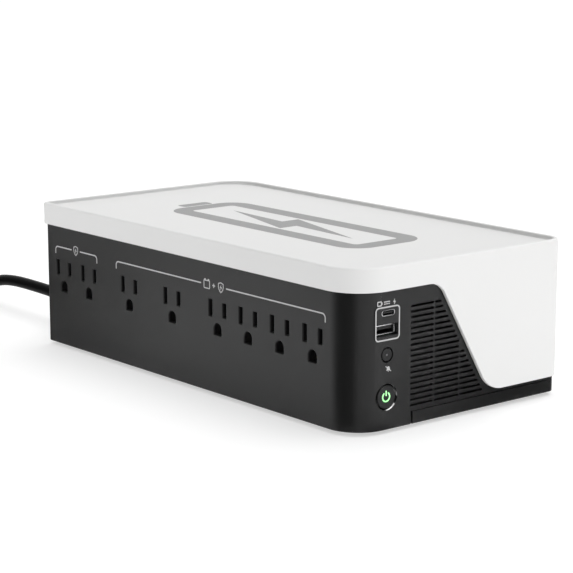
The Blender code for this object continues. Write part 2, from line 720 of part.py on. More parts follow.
def battery():
    low, high = BATTERY_LOW, BATTERY_LOW + BATTERY_SIZE
    block = box("battery", low, high)
    bevel(block, 2 * MM, 2)
    finish(block, "grey_plastic")
    for name, y in (("terminal_positive", TERMINAL_Y[0]), ("terminal_negative", TERMINAL_Y[1])):
        tab_low = (low.x - 5.5 * MM, y - 3.2 * MM, TERMINAL_Z - 0.4 * MM)
        finish(box(name, tab_low, (low.x - GAP, y + 3.2 * MM, TERMINAL_Z + 0.4 * MM)), "brass")


def battery_leads():
    tab_x = BATTERY_LOW.x - 5.5 * MM
    routes = {
        "lead_positive": (
            (tab_x - 2.2 * MM, TERMINAL_Y[0], TERMINAL_Z),
            (tab_x - 6 * MM, 20 * MM, 56 * MM),
            (tab_x - 7 * MM, 34 * MM, 40 * MM),
            (tab_x - 4 * MM, 37 * MM, 22 * MM),
            (tab_x - 4 * MM, 37 * MM, BOARD_HIGH.z + GAP),
        ),
        "lead_negative": (
            (tab_x - 2.2 * MM, TERMINAL_Y[1], TERMINAL_Z),
            (tab_x - 8 * MM, -112 * MM, 58 * MM),
            (tab_x - 11 * MM, -60 * MM, 66 * MM),
            (tab_x - 11 * MM, 0, 66 * MM),
            (tab_x - 12 * MM, 30 * MM, 50 * MM),
            (tab_x - 10.5 * MM, 40 * MM, 30 * MM),
            (tab_x - 10.5 * MM, 40 * MM, BOARD_HIGH.z + GAP),
        ),
    }
    for (name, route), slot in zip(routes.items(), ("red_lead", "cord_jacket")):
        finish(tube(name, smooth_path(route, 6 * MM), 1.6 * MM), slot)


def transformer():
    """An E and I core with its winding round the middle leg."""
    low, high = Vector((4 * MM, 68 * MM, 14 * MM)), Vector((61 * MM, 98 * MM, 62 * MM))
    core = box("transformer_core", low, high)
    leg = 9.5 * MM
    windows = [
        box("window", (x, low.y - MM, low.z + leg), (x + leg, high.y + MM, high.z - leg))
        for x in (low.x + leg, high.x - 2 * leg)
    ]
    cut(core, gather("windows", windows))
    finish(core, "steel")
    winding = box(
        "transformer_winding",
        (low.x + leg + GAP, low.y - 8 * MM, low.z + leg + GAP),
        (high.x - leg - GAP, high.y + 8 * MM, high.z - leg - GAP),
    )
    bevel(winding, 4 * MM, 2, 80)
    hole_low = (low.x + 2 * leg - GAP, low.y - GAP, low.z)
    cut(winding, box("leg_hole", hole_low, (high.x - 2 * leg + GAP, high.y + GAP, high.z)))
    finish(winding, "copper")


def heat_sink():
    low = Vector((-28 * MM, 62 * MM, BOARD_HIGH.z + GAP))
    base = box("heat_sink", low, low + Vector((24 * MM, 3 * MM, 38 * MM)))
    fins = []
    for k in range(6):
        corner = low + Vector((4.48 * MM * k, 2 * MM, 2 * MM))
        fins.append(box("fin", corner, corner + Vector((1.5 * MM, 20 * MM, 35 * MM))))
    fuse(base, gather("fins", fins))
    finish(base, "aluminium")


def board_parts():
    finish(box("main_board", BOARD_LOW, BOARD_HIGH), "board")
    z = BOARD_HIGH.z + GAP
    for number, x in enumerate((-27 * MM, -6 * MM), 1):
        relay = box(f"relay_{number}", (x, 40 * MM, z), (x + 19 * MM, 56 * MM, z + 16 * MM))
        bevel(relay, 0.8 * MM)
        finish(relay, "black_plastic")
    for number, x in enumerate((26 * MM, 43 * MM, 60 * MM), 1):
        can = rod(f"capacitor_{number}", (x, 48 * MM, z), (x, 48 * MM, z + 30 * MM), 7.5 * MM)
        bevel(can, 0.6 * MM)
        finish(can, "grey_plastic")
    x, y = -37 * MM, 106 * MM
    buzzer = rod("buzzer", (x, y, z), (x, y, z + 8 * MM), 5.5 * MM)
    cut(buzzer, rod("sound_hole", (x, y, z + 6 * MM), (x, y, z + 9 * MM), MM, sides=12))
    finish(buzzer, "black_plastic")


def breaker_rod(name, start_y, end_y, radius, sides=24):
    """A rod on the breaker's axis."""
    return rod(name, (BREAKER_X, start_y, BREAKER_Z), (BREAKER_X, end_y, BREAKER_Z), radius, sides=sides)


def breaker():
    """The breaker's body behind the rear wall, its threaded neck and nut, and its reset button."""
    inside = HALF_LENGTH - WALL - GAP
    low = (BREAKER_X - 8 * MM, inside - 28 * MM, BREAKER_Z - 9 * MM)
    body = box("breaker_body", low, (BREAKER_X + 8 * MM, inside, BREAKER_Z + 9 * MM))
    neck_end = HALF_LENGTH + 2 * MM
    fuse(body, breaker_rod("neck", inside - MM, neck_end, 5.3 * MM))
    cut(body, breaker_rod("button_bore", inside - 8 * MM, neck_end + MM, 4 * MM))
    finish(body, "black_plastic")

    nut = breaker_rod("breaker_nut", HALF_LENGTH + GAP, HALF_LENGTH + 1.6 * MM, 8 * MM, sides=6)
    cut(nut, breaker_rod("nut_bore", HALF_LENGTH - MM, HALF_LENGTH + 3 * MM, 5.6 * MM))
    finish(nut, "black_plastic")

    button = breaker_rod("breaker_button", inside - 3.5 * MM, HALF_LENGTH + 2.4 * MM, 3.6 * MM)
    bevel(button, 0.5 * MM)
    finish(button, "grey_plastic")


# ---------------------------------------------------------------- mains lead


def strain_relief():
    """A boot held in the rear wall: a flange on each side of it and a taper out along the lead."""
    out, inside = HALF_LENGTH + GAP, HALF_LENGTH - WALL - GAP
    length = RELIEF_END_Y - out
    profile = [(0, RELIEF_END_Y), (4.7 * MM, RELIEF_END_Y)]
    rings = 5
    for k in range(rings):
        y = RELIEF_END_Y - 2 * MM - k * (length - 6 * MM) / rings
        radius = 4.8 * MM + 1.8 * MM * k / rings
        groove = radius - 0.6 * MM
        profile += [(radius, y), (radius, y - 1.6 * MM), (groove, y - 1.6 * MM), (groove, y - 3 * MM)]
    profile += [(8 * MM, out + 2 * MM), (8 * MM, out), (5.6 * MM, out), (5.6 * MM, inside), (8 * MM, inside)]
    profile += [(8 * MM, inside - 2.5 * MM), (0, inside - 2.5 * MM)]
    place = Matrix.Translation((CORD_X, 0, CORD_Z)) @ Matrix.Rotation(-math.pi / 2, 4, "X")
    finish(turned("strain_relief", profile, place), "rubber")


def lead_and_coil():
    finish(tube("power_cord", smooth_path(LEAD_ROUTE, 9 * MM), CORD_RADIUS, 3), "cord_jacket")
    finish(tube("cord_tail", smooth_path(TAIL_ROUTE, 8 * MM), CORD_RADIUS, 3), "cord_jacket")
    inner, outer = COIL_RADIUS - COIL_HALF_WIDTH, COIL_RADIUS + COIL_HALF_WIDTH
    low, high = COIL_BOTTOM_Z, COIL_BOTTOM_Z + COIL_HEIGHT
    corners = ((outer, high), (outer, low), (inner, low), (inner, high))
    section = rounded_outline([(r, z, CORD_RADIUS * 0.7) for r, z in corners], math.radians(45))
    coil = turned("cord_coil", section, Matrix.Translation(COIL_CENTRE), steps=40, closed=True)
    finish(coil, "cord_jacket")


def cord_tie():
    """A strap round the coil's section, on the side away from the case."""
    half_width = 4 * MM
    x = COIL_CENTRE.x
    y = COIL_CENTRE.y + COIL_RADIUS
    z = COIL_BOTTOM_Z + COIL_HEIGHT / 2
    outlines = []
    for grown in (2 * GAP + TIE_THICKNESS, 2 * GAP):
        width, height = 2 * (COIL_HALF_WIDTH + grown), COIL_HEIGHT + 2 * grown
        outlines.append(rectangle(y, z, width, height, 1.7 * MM + grown))
    strap = prism("cord_tie", outlines[0], "YZ", x - half_width, x + half_width)
    cut(strap, prism("strap_hollow", outlines[1], "YZ", x - 2 * half_width, x + 2 * half_width))
    finish(strap, "rubber")


def plug():
    """A three-pin mains plug lying beside the coil, its blades towards -Y."""
    face = PLUG_NECK_Y - PLUG_NECK - PLUG_BODY.y
    low = Vector((PLUG_X - PLUG_BODY.x / 2, face, 0))
    body = box("plug_body", low, low + PLUG_BODY)
    bevel(body, 4 * MM, 3)
    neck_start = (PLUG_X, face + PLUG_BODY.y - 2 * MM, PLUG_Z)
    fuse(body, rod("plug_neck", neck_start, (PLUG_X, PLUG_NECK_Y, PLUG_Z), 8 * MM, 4.8 * MM))
    finish(body, "cord_jacket")
    blade_z = PLUG_Z + GROUND_DROP / 2
    for number, side in enumerate((-1, 1), 1):
        x = PLUG_X + side * SLOT_SPACING / 2
        low = (x - 0.75 * MM, face - 17.5 * MM, blade_z - 3.2 * MM)
        finish(box(f"plug_blade_{number}", low, (x + 0.75 * MM, face - GAP, blade_z + 3.2 * MM)), "brass")
    pin_z = PLUG_Z - GROUND_DROP / 2
    pin_ends = (PLUG_X, face - 21 * MM, pin_z), (PLUG_X, face - GAP, pin_z)
    pin = rod("plug_ground_pin", *pin_ends, 2.4 * MM, sides=16)
    bevel(pin, 0.8 * MM)
    finish(pin, "brass")


clear_scene()
PARTS = collection("uninterruptible_power_supply")
CUTTERS = collection("cutters")
main_shell()
top_cover()
battery_door()
feet()
case_screws()
power_button()
mute_button()
usb_ports()
front_board()
outlets()
battery()
battery_leads()
transformer()
heat_sink()
board_parts()
breaker()
strain_relief()
lead_and_coil()
cord_tie()
plug()
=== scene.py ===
"""Looks of a desktop uninterruptible power supply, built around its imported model.

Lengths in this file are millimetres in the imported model's frame, and become metres when a mesh is made.
The front panel faces -Y, the outlets face -X and the surface it stands on is Z = 0.
"""

import math

import bmesh
import bpy
from mathutils import Matrix, Vector


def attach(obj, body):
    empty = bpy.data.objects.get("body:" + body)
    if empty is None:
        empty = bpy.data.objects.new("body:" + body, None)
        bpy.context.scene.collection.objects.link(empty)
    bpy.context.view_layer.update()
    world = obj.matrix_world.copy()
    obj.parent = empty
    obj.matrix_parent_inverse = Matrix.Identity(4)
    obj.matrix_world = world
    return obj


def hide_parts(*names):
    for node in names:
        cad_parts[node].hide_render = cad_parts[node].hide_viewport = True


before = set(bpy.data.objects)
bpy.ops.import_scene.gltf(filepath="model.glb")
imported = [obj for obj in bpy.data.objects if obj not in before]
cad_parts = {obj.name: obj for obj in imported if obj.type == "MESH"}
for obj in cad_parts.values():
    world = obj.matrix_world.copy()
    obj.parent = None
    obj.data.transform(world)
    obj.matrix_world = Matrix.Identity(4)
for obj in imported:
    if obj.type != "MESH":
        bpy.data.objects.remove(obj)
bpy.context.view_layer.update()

MM = 0.001
TINY = 1e-9
BEYOND = 3

# Case, cover and battery door. Plan radii run front left, front right, rear right, rear left.
HALF_WIDTH, HALF_LENGTH = 76, 145
BASE_Z, CASE_TOP_Z, FLOOR_TOP_Z = 2, 85.3, 5.5
WALL, BOTTOM_RADIUS, TOP_CHAMFER, CASE_ROUNDING = 2.5, 0.8, 0.3, 0.22
CASE_RADII = (20, 4.5, 20, 1)
OVERHANG, COVER_WALL, COVER_ROUNDING = 2.5, 2.2, 0.32
COVER_RADII = (22.5, 10, 22.5, 5)
COVER_INNER_RADII = (20.3, 4.8, 20.3, 1)
RIM_WIDTH, RIM_TOP_Z, TRAY_Z, TRAY_UNDERSIDE_Z = 2.8, 90.2, 87.8, 85.6
RIM_OUTER_RADIUS, RIM_INNER_RADIUS, RIM_FOOT_RADIUS = 1.2, 0.7, 0.9
SKIRT_Z, APRON_Z = 77, 11.7
S_TOP_X, S_TOP_RADIUS, S_BOTTOM_X, S_BOTTOM_RADIUS = -17.9, 13, 20.2, 18
DOOR_LEFT_X, DOOR_REAR_Y, DOOR_PLATE, DOOR_LIP_Z = -34.6, 35, 1.6, 9.1
SEAM = 0.3
GRIPS, GRIP_X, GRIP_FRONT_Y, GRIP_PITCH, GRIP_SIZE, GRIP_DEPTH = 5, 8, -100, 5, (40, 2, 0.9), 0.7
DOOR_ARROW = [(8, -120), (14, -112), (10, -112), (10, -106), (6, -106), (6, -112), (2, -112)]
BAY_LOW, BAY_HIGH = (-32.5, -132), (71.5, 24)
FEET = ((-58, -118), (-58, 126), (52, 122), (58, -124))
FOOT = ((1, 0.35), (4.6, 0.3), (5.2, 0.05), (5.6, 0), (6.2, 0.08), (6.7, 0.5), (7, 1.4), (7, BASE_Z))
SCREWS = ((-65, -131.5), (-20, 137), (63, 132), (67, -137))
SCREW = ((1.4, 0), (2.2, 0.12), (2.7, 0.45), (3, 1.1), (3, 2.3), (1.5, 2.3), (1.5, 15))
HEAD_HOLE, HEAD_HOLE_DEPTH, SHANK_HOLE, HOLE_TOP_Z, PILOT_TOP_Z = 3.4, 2.9, 1.8, 10, 22
BOSS_RADIUS, BOSS_TOP_Z, POST_RADIUS, POST_FOOT_Z = 5, 9, 3.5, 9.3

# Outlets
OUTLETS_Y = (-111.3, -83.9, -56.5, -29.1, 13.8, 56.7, 99.6, 127.0)
SLOT_Z, SLOT_SPACING, SLOT_WIDTH, SLOT_LEAD_IN = 50.8, 12.7, 2.9, 0.45
NEUTRAL_HEIGHT, HOT_HEIGHT = 9.4, 8
GROUND_DROP, GROUND_SIZE = 11.6, 6.5
FUNNEL = ((-BEYOND, SLOT_LEAD_IN + BEYOND), (SLOT_LEAD_IN, 0), (5, 0))  # depth, growth of the outline

# Front panel. Button outlines are (radius, depth behind the panel); port sizes are width, height, radius.
PANEL_X = -53.3
POWER_Z, POWER_HOLE = 19.9, 7.25
BEZEL = ((6.4, 1), (6.55, 0.9), (6.6, 0.8), (7.23, 0.01), (7.25, 0.05), (7.25, 2.4), (6.4, 2.4))
POWER_CAP = (
    (4.4, 0.4), (5.4, 0.38), (5.85, 0.3), (6.03, 0.34), (6.13, 0.45), (6.15, 0.8), (6.15, 3.7),
    (7.2, 3.7), (7.2, 5), (6.15, 5), (6.15, 7),
)
CAP_HOLLOW, DIFFUSER = ((5, 0.9), (5, 8)), ((4.6, 0.96), (4.6, 2.7))
SYMBOL_RADIUS, SYMBOL_HALF_LINE, SYMBOL_GAP, SYMBOL_CLEARANCE = 2.46, 0.22, 38, 0.4
BAR_RISE, BAR_LENGTH = 1.9, 2.8
MUTE_Z, MUTE_HOLE = 42.6, 4.15
MUTE_CAP = (
    (1.2, 0.22), (2.6, 0.16), (3.1, 0.08), (3.35, 0.15), (3.5, 0.4), (3.5, 3.1),
    (4.7, 3.1), (4.7, 4.3), (3.5, 4.3), (3.5, 6),
)
MUTE_LAMP, LAMP_HOLE = ((0.3, 0.12), (0.5, 0.18), (0.6, 0.35), (0.6, 6)), ((0.75, -1), (0.75, 7))
USB_C, USB_A = (-52.8, 65.1), (-53.2, 55.9)
USB_C_HOLE, USB_C_OUTSIDE, USB_C_INSIDE = (9.7, 3.5, 1.7), (9.4, 3.26, 1.6), (8.5, 2.4, 1.19)
USB_A_HOLE, USB_A_OUTSIDE, USB_A_INSIDE = (14.6, 6.2, 0.4), (13.6, 5.4, 0.5), (12.5, 4.2, 0.3)
LINER_OUTSIDE, LINER_INSIDE = (12.46, 4.16, 0.3), (12, 3.7, 0.2)
USB_C_FRONT_Y, USB_A_FRONT_Y, LINER_FRONT_Y, PORT_BACK_Y = -145, -142.9, -142.4, -130.8
VENT_ROWS, VENT_TOP_Z, VENT_PITCH, VENT_HEIGHT = 19, 66.4, 2.99, 1.15
VENT_LEFT_X, VENT_FIRST_END_X, VENT_END_STEP = -36.5, -14.7, 1.775
VENT_RIBS = ((-20, -19), (-0.9, 0))
REAR_VENT_LEFT_X, REAR_VENT_ROWS, REAR_VENT_HEIGHT = -27, 6, 2
BREAKER_X, BREAKER_Z, BREAKER_HOLE, CORD_HOLE = -38, 60, 5.6, 6

# Printed marks. Breaks in the brackets run from the rear to the front.
PRINT_LINE, ICON_LINE, BOLT_SCALE, PRINT_THICKNESS, SLASH_THICKNESS = 0.75, 0.6, 1.7, 0.05, 0.08
BRACKET_Z, BRACKET_FOOT_Z, BRACKET_RADIUS = 63.7, 59.2, 2.4
SURGE_BRACKET, SURGE_BREAK, SURGE_ICON_Y = (90.1, 135.5), (117.7, 108.4), 113
BATTERY_BRACKET, BATTERY_BREAK = (-121.7, 69.6), (-14.3, -37.3)
BATTERY_ICON_Y, PLUS_ICON_Y, SHIELD_ICON_Y = -19.7, -26.1, -32.6
PORT_FRAME, PORT_MARK_Z = (-53.25, 59.45, 16.5, 17.5, 1.9), 70.5
CELL_X, SUPPLY_X, CHARGE_X = -59.1, -53.9, -48.6
BELL_PLACE, TRAY_MARK_PLACE = (-52.5, 35.1), (-2, -4)

# Mains lead. The route behind the case is (y, z).
CORD_X, CORD_Z, CORD_RADIUS = -40, 19.5, 3.7
CORD_EXIT_Y, RELIEF_END_Y = 145, 172
COIL_Y = 325
PLUG_X, PLUG_Z, PLUG_NECK_Y = -147.3, 11, 290
PLUG_FACE_Y, PLUG_DROP = 248, 11.9
BLADE_LENGTH, BLADE_ROOT, BLADE_HALF_HEIGHT, BLADE_HALF_WIDTH = 17.5, 3, 3.2, 0.75
LEAD_ROUTE = (
    (CORD_EXIT_Y, CORD_Z), (160, 19.55), (172.3, 19.6), (190, 19.9), (215, 20.4), (240, 20.3),
    (258, 18.6), (274, 14.6), (290, 9.4), (306, 5.3), (318, 4.1),
)
COIL_TURNS, COIL_STEPS, TAIL_STEPS, LEAD_SPACING = 4.5, 216, 9, 5

# Camera and lights, in metres and degrees. The reflected wall is in millimetres.
CAMERA_PLACE, CAMERA_TILT, CAMERA_TURN = (-0.7175, -0.8676, 0.2788), 78.48, -39.52
FOCAL_MM, SENSOR_MM = 121.4, 36
STRIP_LENGTH, STRIP_HEIGHT = 1.4, 0.07
STRIP_LIGHTS = (("strip_right", (0.24, -0.97, 0.042), 3.0), ("strip_left", (-0.7, 0.62, 0.042), 2.4))
SOFT_LIGHTS = (("overhead", (0.3, 0, 0.95), 2.0, 60), ("front_left", (-0.36, -0.5, 0.79), 0.65, 44))
FLOOR_WHITE, FLOOR_GLOW, WORLD_GLOW, WALL_GLOW = (0.58, 0.58, 0.58), 0.52, 0.18, 1.2
WALL_TOWARDS, WALL_DISTANCE, WALL_HALF_WIDTH, WALL_LOW_Z, WALL_HIGH_Z = (0.654, 0.712), 1600, 1800, 60, 1100

# Flags: cards of black gauze that only reflections see. Strips are start, step, edge, reach, count, density.
FLAG_CORNER, FLAG_NEAR, FLAG_FAR, FLAG_Z, FLAG_STEP_Z = (-70, -139), 13, 1500, 0.4, 0.02
CORNER_FLAGS = ((148, 222, 1), (222, 280, 0.32))
STRIP_FLAGS = (
    ("flag_rear", (-82, 60), (0, 22), (-384, 461), (0, 900), 5, 0.17),
    ("flag_right", (-42, -151), (14, 0), (384, -461), (900, 0), 5, 0.13),
    ("flag_far", (-265, -700), (-30, 0), (0, 2000), (-1200, 0), 3, 0.1),
)
FOOT_FLAGS, FOOT_FLAG_DENSITY = (25, 50, 85, 130), 0.1
CARD_FLAGS = (
    ("flag_step", ((-25, -148, 0.6), (90, -148, 0.6), (120, -215, 0.6), (-10, -215, 0.6)), 0.4),
    ("flag_button", ((-68, -147, 0.7), (-42, -147, 0.7), (-44, -158, 0.7), (-70, -158, 0.7)), 0.9),
)

PLANES = {
    "XY": Matrix.Identity(4),
    "XZ": Matrix(((1, 0, 0, 0), (0, 0, -1, 0), (0, 1, 0, 0), (0, 0, 0, 1))),
    "YZ": Matrix(((0, 0, 1, 0), (1, 0, 0, 0), (0, 1, 0, 0), (0, 0, 0, 1))),
}
AXIS_OF_PLANE = {"XY": 1, "XZ": -1, "YZ": 1}


# ---- mesh helpers


def put(name, data):
    made = bpy.data.objects.new(name, data)
    bpy.context.scene.collection.objects.link(made)
    return made


def mesh_object(name, bm):
    bmesh.ops.recalc_face_normals(bm, faces=bm.faces)
    mesh = bpy.data.meshes.new(name)
    bm.to_mesh(mesh)
    bm.free()
    return put(name, mesh)


def remove(*pieces):
    for piece in pieces:
        bpy.data.objects.remove(piece, do_unlink=True)


def evaluated_mesh(made):
    bpy.context.view_layer.update()
    return bpy.data.meshes.new_from_object(made.evaluated_get(bpy.context.evaluated_depsgraph_get()))


def bake(made):
    """Applies the object's modifiers."""
    mesh = evaluated_mesh(made)
    made.modifiers.clear()
    made.data = mesh
    return made


def loft(name, loops, closed=False):
    """A body through loops of points that all have the same count, capped at both ends unless closed."""
    bm = bmesh.new()
    rings = [[bm.verts.new(Vector(p) * MM) for p in loop] for loop in loops]
    for low, high in zip(rings, rings[1:] + rings[:1] * closed):
        for k in range(len(low)):
            bm.faces.new((low[k - 1], low[k], high[k], high[k - 1]))
    if not closed:
        bm.faces.new(rings[0])
        bm.faces.new(rings[-1])
    return mesh_object(name, bm)


def box(name, low, high):
    (x0, y0, z0), (x1, y1, z1) = low, high
    corners = [(x0, y0), (x1, y0), (x1, y1), (x0, y1)]
    return loft(name, [[(x, y, z) for x, y in corners] for z in (z0, z1)])


def lathe(name, profile, origin, axis="Z", steps=48):
    """A body turned about an axis through origin, from (radius, height) points listed bottom to top."""
    turn = {"Z": Matrix.Identity(3), "Y": Matrix.Rotation(-math.pi / 2, 3, "X")}[axis]
    loops = []
    for radius, height in profile:
        circle = [2 * math.pi * k / steps for k in range(steps)]
        points = [Vector((radius * math.cos(a), radius * math.sin(a), height)) for a in circle]
        loops.append([turn @ p + Vector(origin) for p in points])
    return loft(name, loops)


def on_circle(centre, radius, degrees):
    angle = math.radians(degrees)
    return (centre[0] + radius * math.cos(angle), centre[1] + radius * math.sin(angle))


def arc(centre, radius, start, end, count):
    """Points on an arc from start to end, in degrees."""
    return [on_circle(centre, radius, start + (end - start) * k / count) for k in range(count + 1)]


def rounded(corners, step=6):
    """A closed outline from (x, y, radius) corners, with an arc at each corner that has a radius."""
    points = []
    for i, (x, y, radius) in enumerate(corners):
        corner = Vector((x, y))
        if radius == 0:
            points.append(corner)
            continue
        before = (Vector(corners[i - 1][:2]) - corner).normalized()
        after = (Vector(corners[(i + 1) % len(corners)][:2]) - corner).normalized()
        half = before.angle(after) / 2
        centre = corner + (before + after).normalized() * (radius / math.sin(half))
        start = corner + before * (radius / math.tan(half)) - centre
        end = corner + after * (radius / math.tan(half)) - centre
        sweep = math.copysign(math.pi - 2 * half, start.x * end.y - start.y * end.x)
        count = max(2, round(math.degrees(abs(sweep)) / step))
        points += [centre + Matrix.Rotation(sweep * k / count, 2) @ start for k in range(count + 1)]
    return [tuple(p) for p in points]


def rectangle(x, y, width, height, radius=0):
    left, right, low, high = x - width / 2, x + width / 2, y - height / 2, y + height / 2
    return rounded([(left, low, radius), (right, low, radius), (right, high, radius), (left, high, radius)])


def plan_loop(half_width, half_length, radii, z, steps=18):
    """A plan outline at a height: front left, front right, rear right and rear left corners."""
    points = []
    places = ((-1, -1, 180), (1, -1, 270), (1, 1, 0), (-1, 1, 90))
    for (sx, sy, start), radius in zip(places, radii):
        centre = (sx * (half_width - radius), sy * (half_length - radius))
        points += [(x, y, z) for x, y in arc(centre, radius, start, start + 90, steps)]
    return points


def prism(name, outlines, plane, low, high):
    """Flat outlines in a plane, holes among them, pulled along the plane's third axis from low to high."""
    curve = bpy.data.curves.new(name, "CURVE")
    curve.dimensions = "2D"
    curve.fill_mode = "BOTH"
    curve.extrude = (high - low) / 2 * MM
    for outline in outlines:
        spline = curve.splines.new("POLY")
        spline.points.add(len(outline) - 1)
        for point, (x, y) in zip(spline.points, outline):
            point.co = (x * MM, y * MM, 0, 1)
        spline.use_cyclic_u = True
    guide = put(name + "_guide", curve)
    bm = bmesh.new()
    bm.from_mesh(evaluated_mesh(guide))
    remove(guide)
    middle = AXIS_OF_PLANE[plane] * (low + high) / 2 * MM
    bm.transform(PLANES[plane] @ Matrix.Translation((0, 0, middle)))
    bmesh.ops.remove_doubles(bm, verts=bm.verts, dist=1e-7)
    return mesh_object(name, bm)


def join(name, pieces):
    bm = bmesh.new()
    for piece in pieces:
        bm.from_mesh(piece.data)
    remove(*pieces)
    return mesh_object(name, bm)


def combine(target, tools, operation):
    for tool in tools:
        modifier = target.modifiers.new("combine", "BOOLEAN")
        modifier.operation = operation
        modifier.solver = "EXACT"
        modifier.object = tool
    bake(target)
    remove(*tools)
    return target


def cut(target, *tools):
    return combine(target, tools, "DIFFERENCE")


def fuse(target, *tools):
    return combine(target, tools, "UNION")


def round_edges(target, width, segments=2, angle=40):
    """Rounds the edges sharper than an angle and evens out the shading of the flat faces."""
    modifier = target.modifiers.new("round", "BEVEL")
    modifier.width = width * MM
    modifier.segments = segments
    modifier.limit_method = "ANGLE"
    modifier.angle_limit = math.radians(angle)
    modifier.use_clamp_overlap = False
    modifier.miter_outer = "MITER_ARC"
    smooth(bake(target), 35)
    target.modifiers.new("normals", "WEIGHTED_NORMAL").keep_sharp = True
    return bake(target)


def smooth(target, angle=35):
    target.data.shade_smooth()
    target.data.set_sharp_from_angle(angle=math.radians(angle))
    return target


# ---- materials


# How dark the painted shade in the grooves of the banded materials is.
GROOVE_SHADE = 0.5


def new_material(name):
    made = bpy.data.materials.new(name)
    made.use_nodes = True
    return made, made.node_tree, made.node_tree.nodes["Principled BSDF"]


def assign(node, values):
    """Sets constants on a node's sockets."""
    for name, value in values.items():
        node.inputs[name].default_value = value


def noise(tree, scale, detail=4, stretch=None):
    place = tree.nodes.new("ShaderNodeTexCoord")
    texture = tree.nodes.new("ShaderNodeTexNoise")
    assign(texture, {"Scale": scale, "Detail": detail})
    source = place.outputs["Object"]
    if stretch:
        mapping = tree.nodes.new("ShaderNodeMapping")
        assign(mapping, {"Scale": stretch})
        tree.links.new(source, mapping.inputs["Vector"])
        source = mapping.outputs["Vector"]
    tree.links.new(source, texture.inputs["Vector"])
    return texture


def spread(tree, source, low, high, socket):
    """Maps a noise factor to a range and feeds it to a socket."""
    ranges = tree.nodes.new("ShaderNodeMapRange")
    assign(ranges, {"From Min": 0.3, "From Max": 0.7, "To Min": low, "To Max": high})
    tree.links.new(source, ranges.inputs["Value"])
    tree.links.new(ranges.outputs["Result"], socket)


def blend(tree, low, high, factor, *sockets):
    """Blends two colours by a factor and feeds the result to the sockets."""
    mix = tree.nodes.new("ShaderNodeMix")
    mix.data_type = "RGBA"
    assign(mix, {"A": (*low, 1), "B": (*high, 1)})
    tree.links.new(factor, mix.inputs["Factor"])
    for socket in sockets:
        tree.links.new(mix.outputs["Result"], socket)


def emboss(tree, height, depth, shader):
    """Raises the surface by up to a depth where the height is greatest."""
    bump = tree.nodes.new("ShaderNodeBump")
    assign(bump, {"Strength": 1, "Distance": depth * MM})
    tree.links.new(height, bump.inputs["Height"])
    tree.links.new(bump.outputs["Normal"], shader.inputs["Normal"])


def surface(name, color, roughness, varied, blotch, grain, depth, metallic=0, stretch=None, specular=0.5):
    """Moulded plastic, rubber or metal: a colour that varies in broad patches over a fine grain."""
    made, tree, shader = new_material(name)
    assign(shader, {"Metallic": metallic, "Specular IOR Level": specular})
    dark, light = [c * (1 - varied) for c in color], [min(1, c * (1 + varied)) for c in color]
    blend(tree, dark, light, noise(tree, blotch, 3, stretch).outputs["Fac"], shader.inputs["Base Color"])
    fine = noise(tree, grain, 2, stretch).outputs["Fac"]
    spread(tree, fine, roughness * 0.88, roughness * 1.12, shader.inputs["Roughness"])
    emboss(tree, fine, depth, shader)
    return made


def banded_material(name, color, roughness, axis, scale, depth, metallic):
    """Stacked sheets or laid wire: fine bands along one axis, with painted shade darkening the grooves."""
    made, tree, shader = new_material(name)
    assign(shader, {"Metallic": metallic})
    place = tree.nodes.new("ShaderNodeTexCoord")
    wave = tree.nodes.new("ShaderNodeTexWave")
    wave.bands_direction = axis
    assign(wave, {"Scale": scale, "Distortion": 0.3, "Detail": 1})
    tree.links.new(place.outputs["Object"], wave.inputs["Vector"])
    bands = wave.outputs["Fac"]
    # Painted shade: the colour in the grooves between the bands is darkened.
    blend(tree, [c * GROOVE_SHADE for c in color], color, bands, shader.inputs["Base Color"])
    uneven = noise(tree, 300).outputs["Fac"]
    spread(tree, uneven, roughness * 0.8, roughness * 1.2, shader.inputs["Roughness"])
    emboss(tree, bands, depth, shader)
    return made


def light_material(name, edge, core, strength):
    """A lit light pipe: brighter where the diffuser is thin."""
    made, tree, shader = new_material(name)
    assign(shader, {"Roughness": 0.3, "Emission Strength": strength})
    thickness = noise(tree, 900, 2).outputs["Fac"]
    blend(tree, edge, core, thickness, shader.inputs["Base Color"], shader.inputs["Emission Color"])
    return made


CASE_BLACK = surface(
    "case_black_plastic", (0.0105, 0.0105, 0.0107), 0.36, 0.10, 22, 2600, 0.012, specular=0.52
)
BUTTON_BLACK = surface("button_black_plastic", (0.012, 0.012, 0.0125), 0.4, 0.10, 60, 3000, 0.008)
POLISHED_DARK = surface("ring_polished_dark", (0.38, 0.38, 0.38), 0.14, 0.05, 60, 900, 0.001, 1)
COVER_WHITE = surface("cover_white_plastic", (0.80, 0.80, 0.795), 0.48, 0.012, 14, 2400, 0.008, specular=0.38)
PRINT_GREY = surface("print_light_grey", (0.55, 0.55, 0.55), 0.6, 0.05, 90, 2600, 0.004)
MARK_GREY = surface("mark_mid_grey", (0.30, 0.30, 0.30), 0.5, 0.03, 40, 2600, 0.004)
RUBBER = surface("black_rubber", (0.018, 0.018, 0.018), 0.75, 0.15, 60, 1200, 0.02)
JACKET = surface("cord_vinyl_jacket", (0.003, 0.003, 0.0031), 0.42, 0.15, 40, 700, 0.02, specular=0.05)
STEEL = surface("plated_steel", (0.62, 0.62, 0.63), 0.28, 0.06, 60, 900, 0.004, 1, (1, 12, 1))
PORT_METAL = surface("port_bright_metal", (0.78, 0.78, 0.79), 0.22, 0.05, 90, 1500, 0.003, 1)
BRASS = surface("contact_brass", (0.72, 0.52, 0.22), 0.3, 0.1, 60, 900, 0.004, 1, (1, 8, 1))
ALUMINIUM = surface("extruded_aluminium", (0.66, 0.67, 0.69), 0.35, 0.06, 40, 900, 0.006, 1, (1, 1, 14))
CARRIER = surface("carrier_grey_plastic", (0.03, 0.03, 0.031), 0.55, 0.08, 50, 2000, 0.01)
MID_GREY = surface("moulded_mid_grey", (0.11, 0.11, 0.115), 0.5, 0.08, 30, 1800, 0.015)
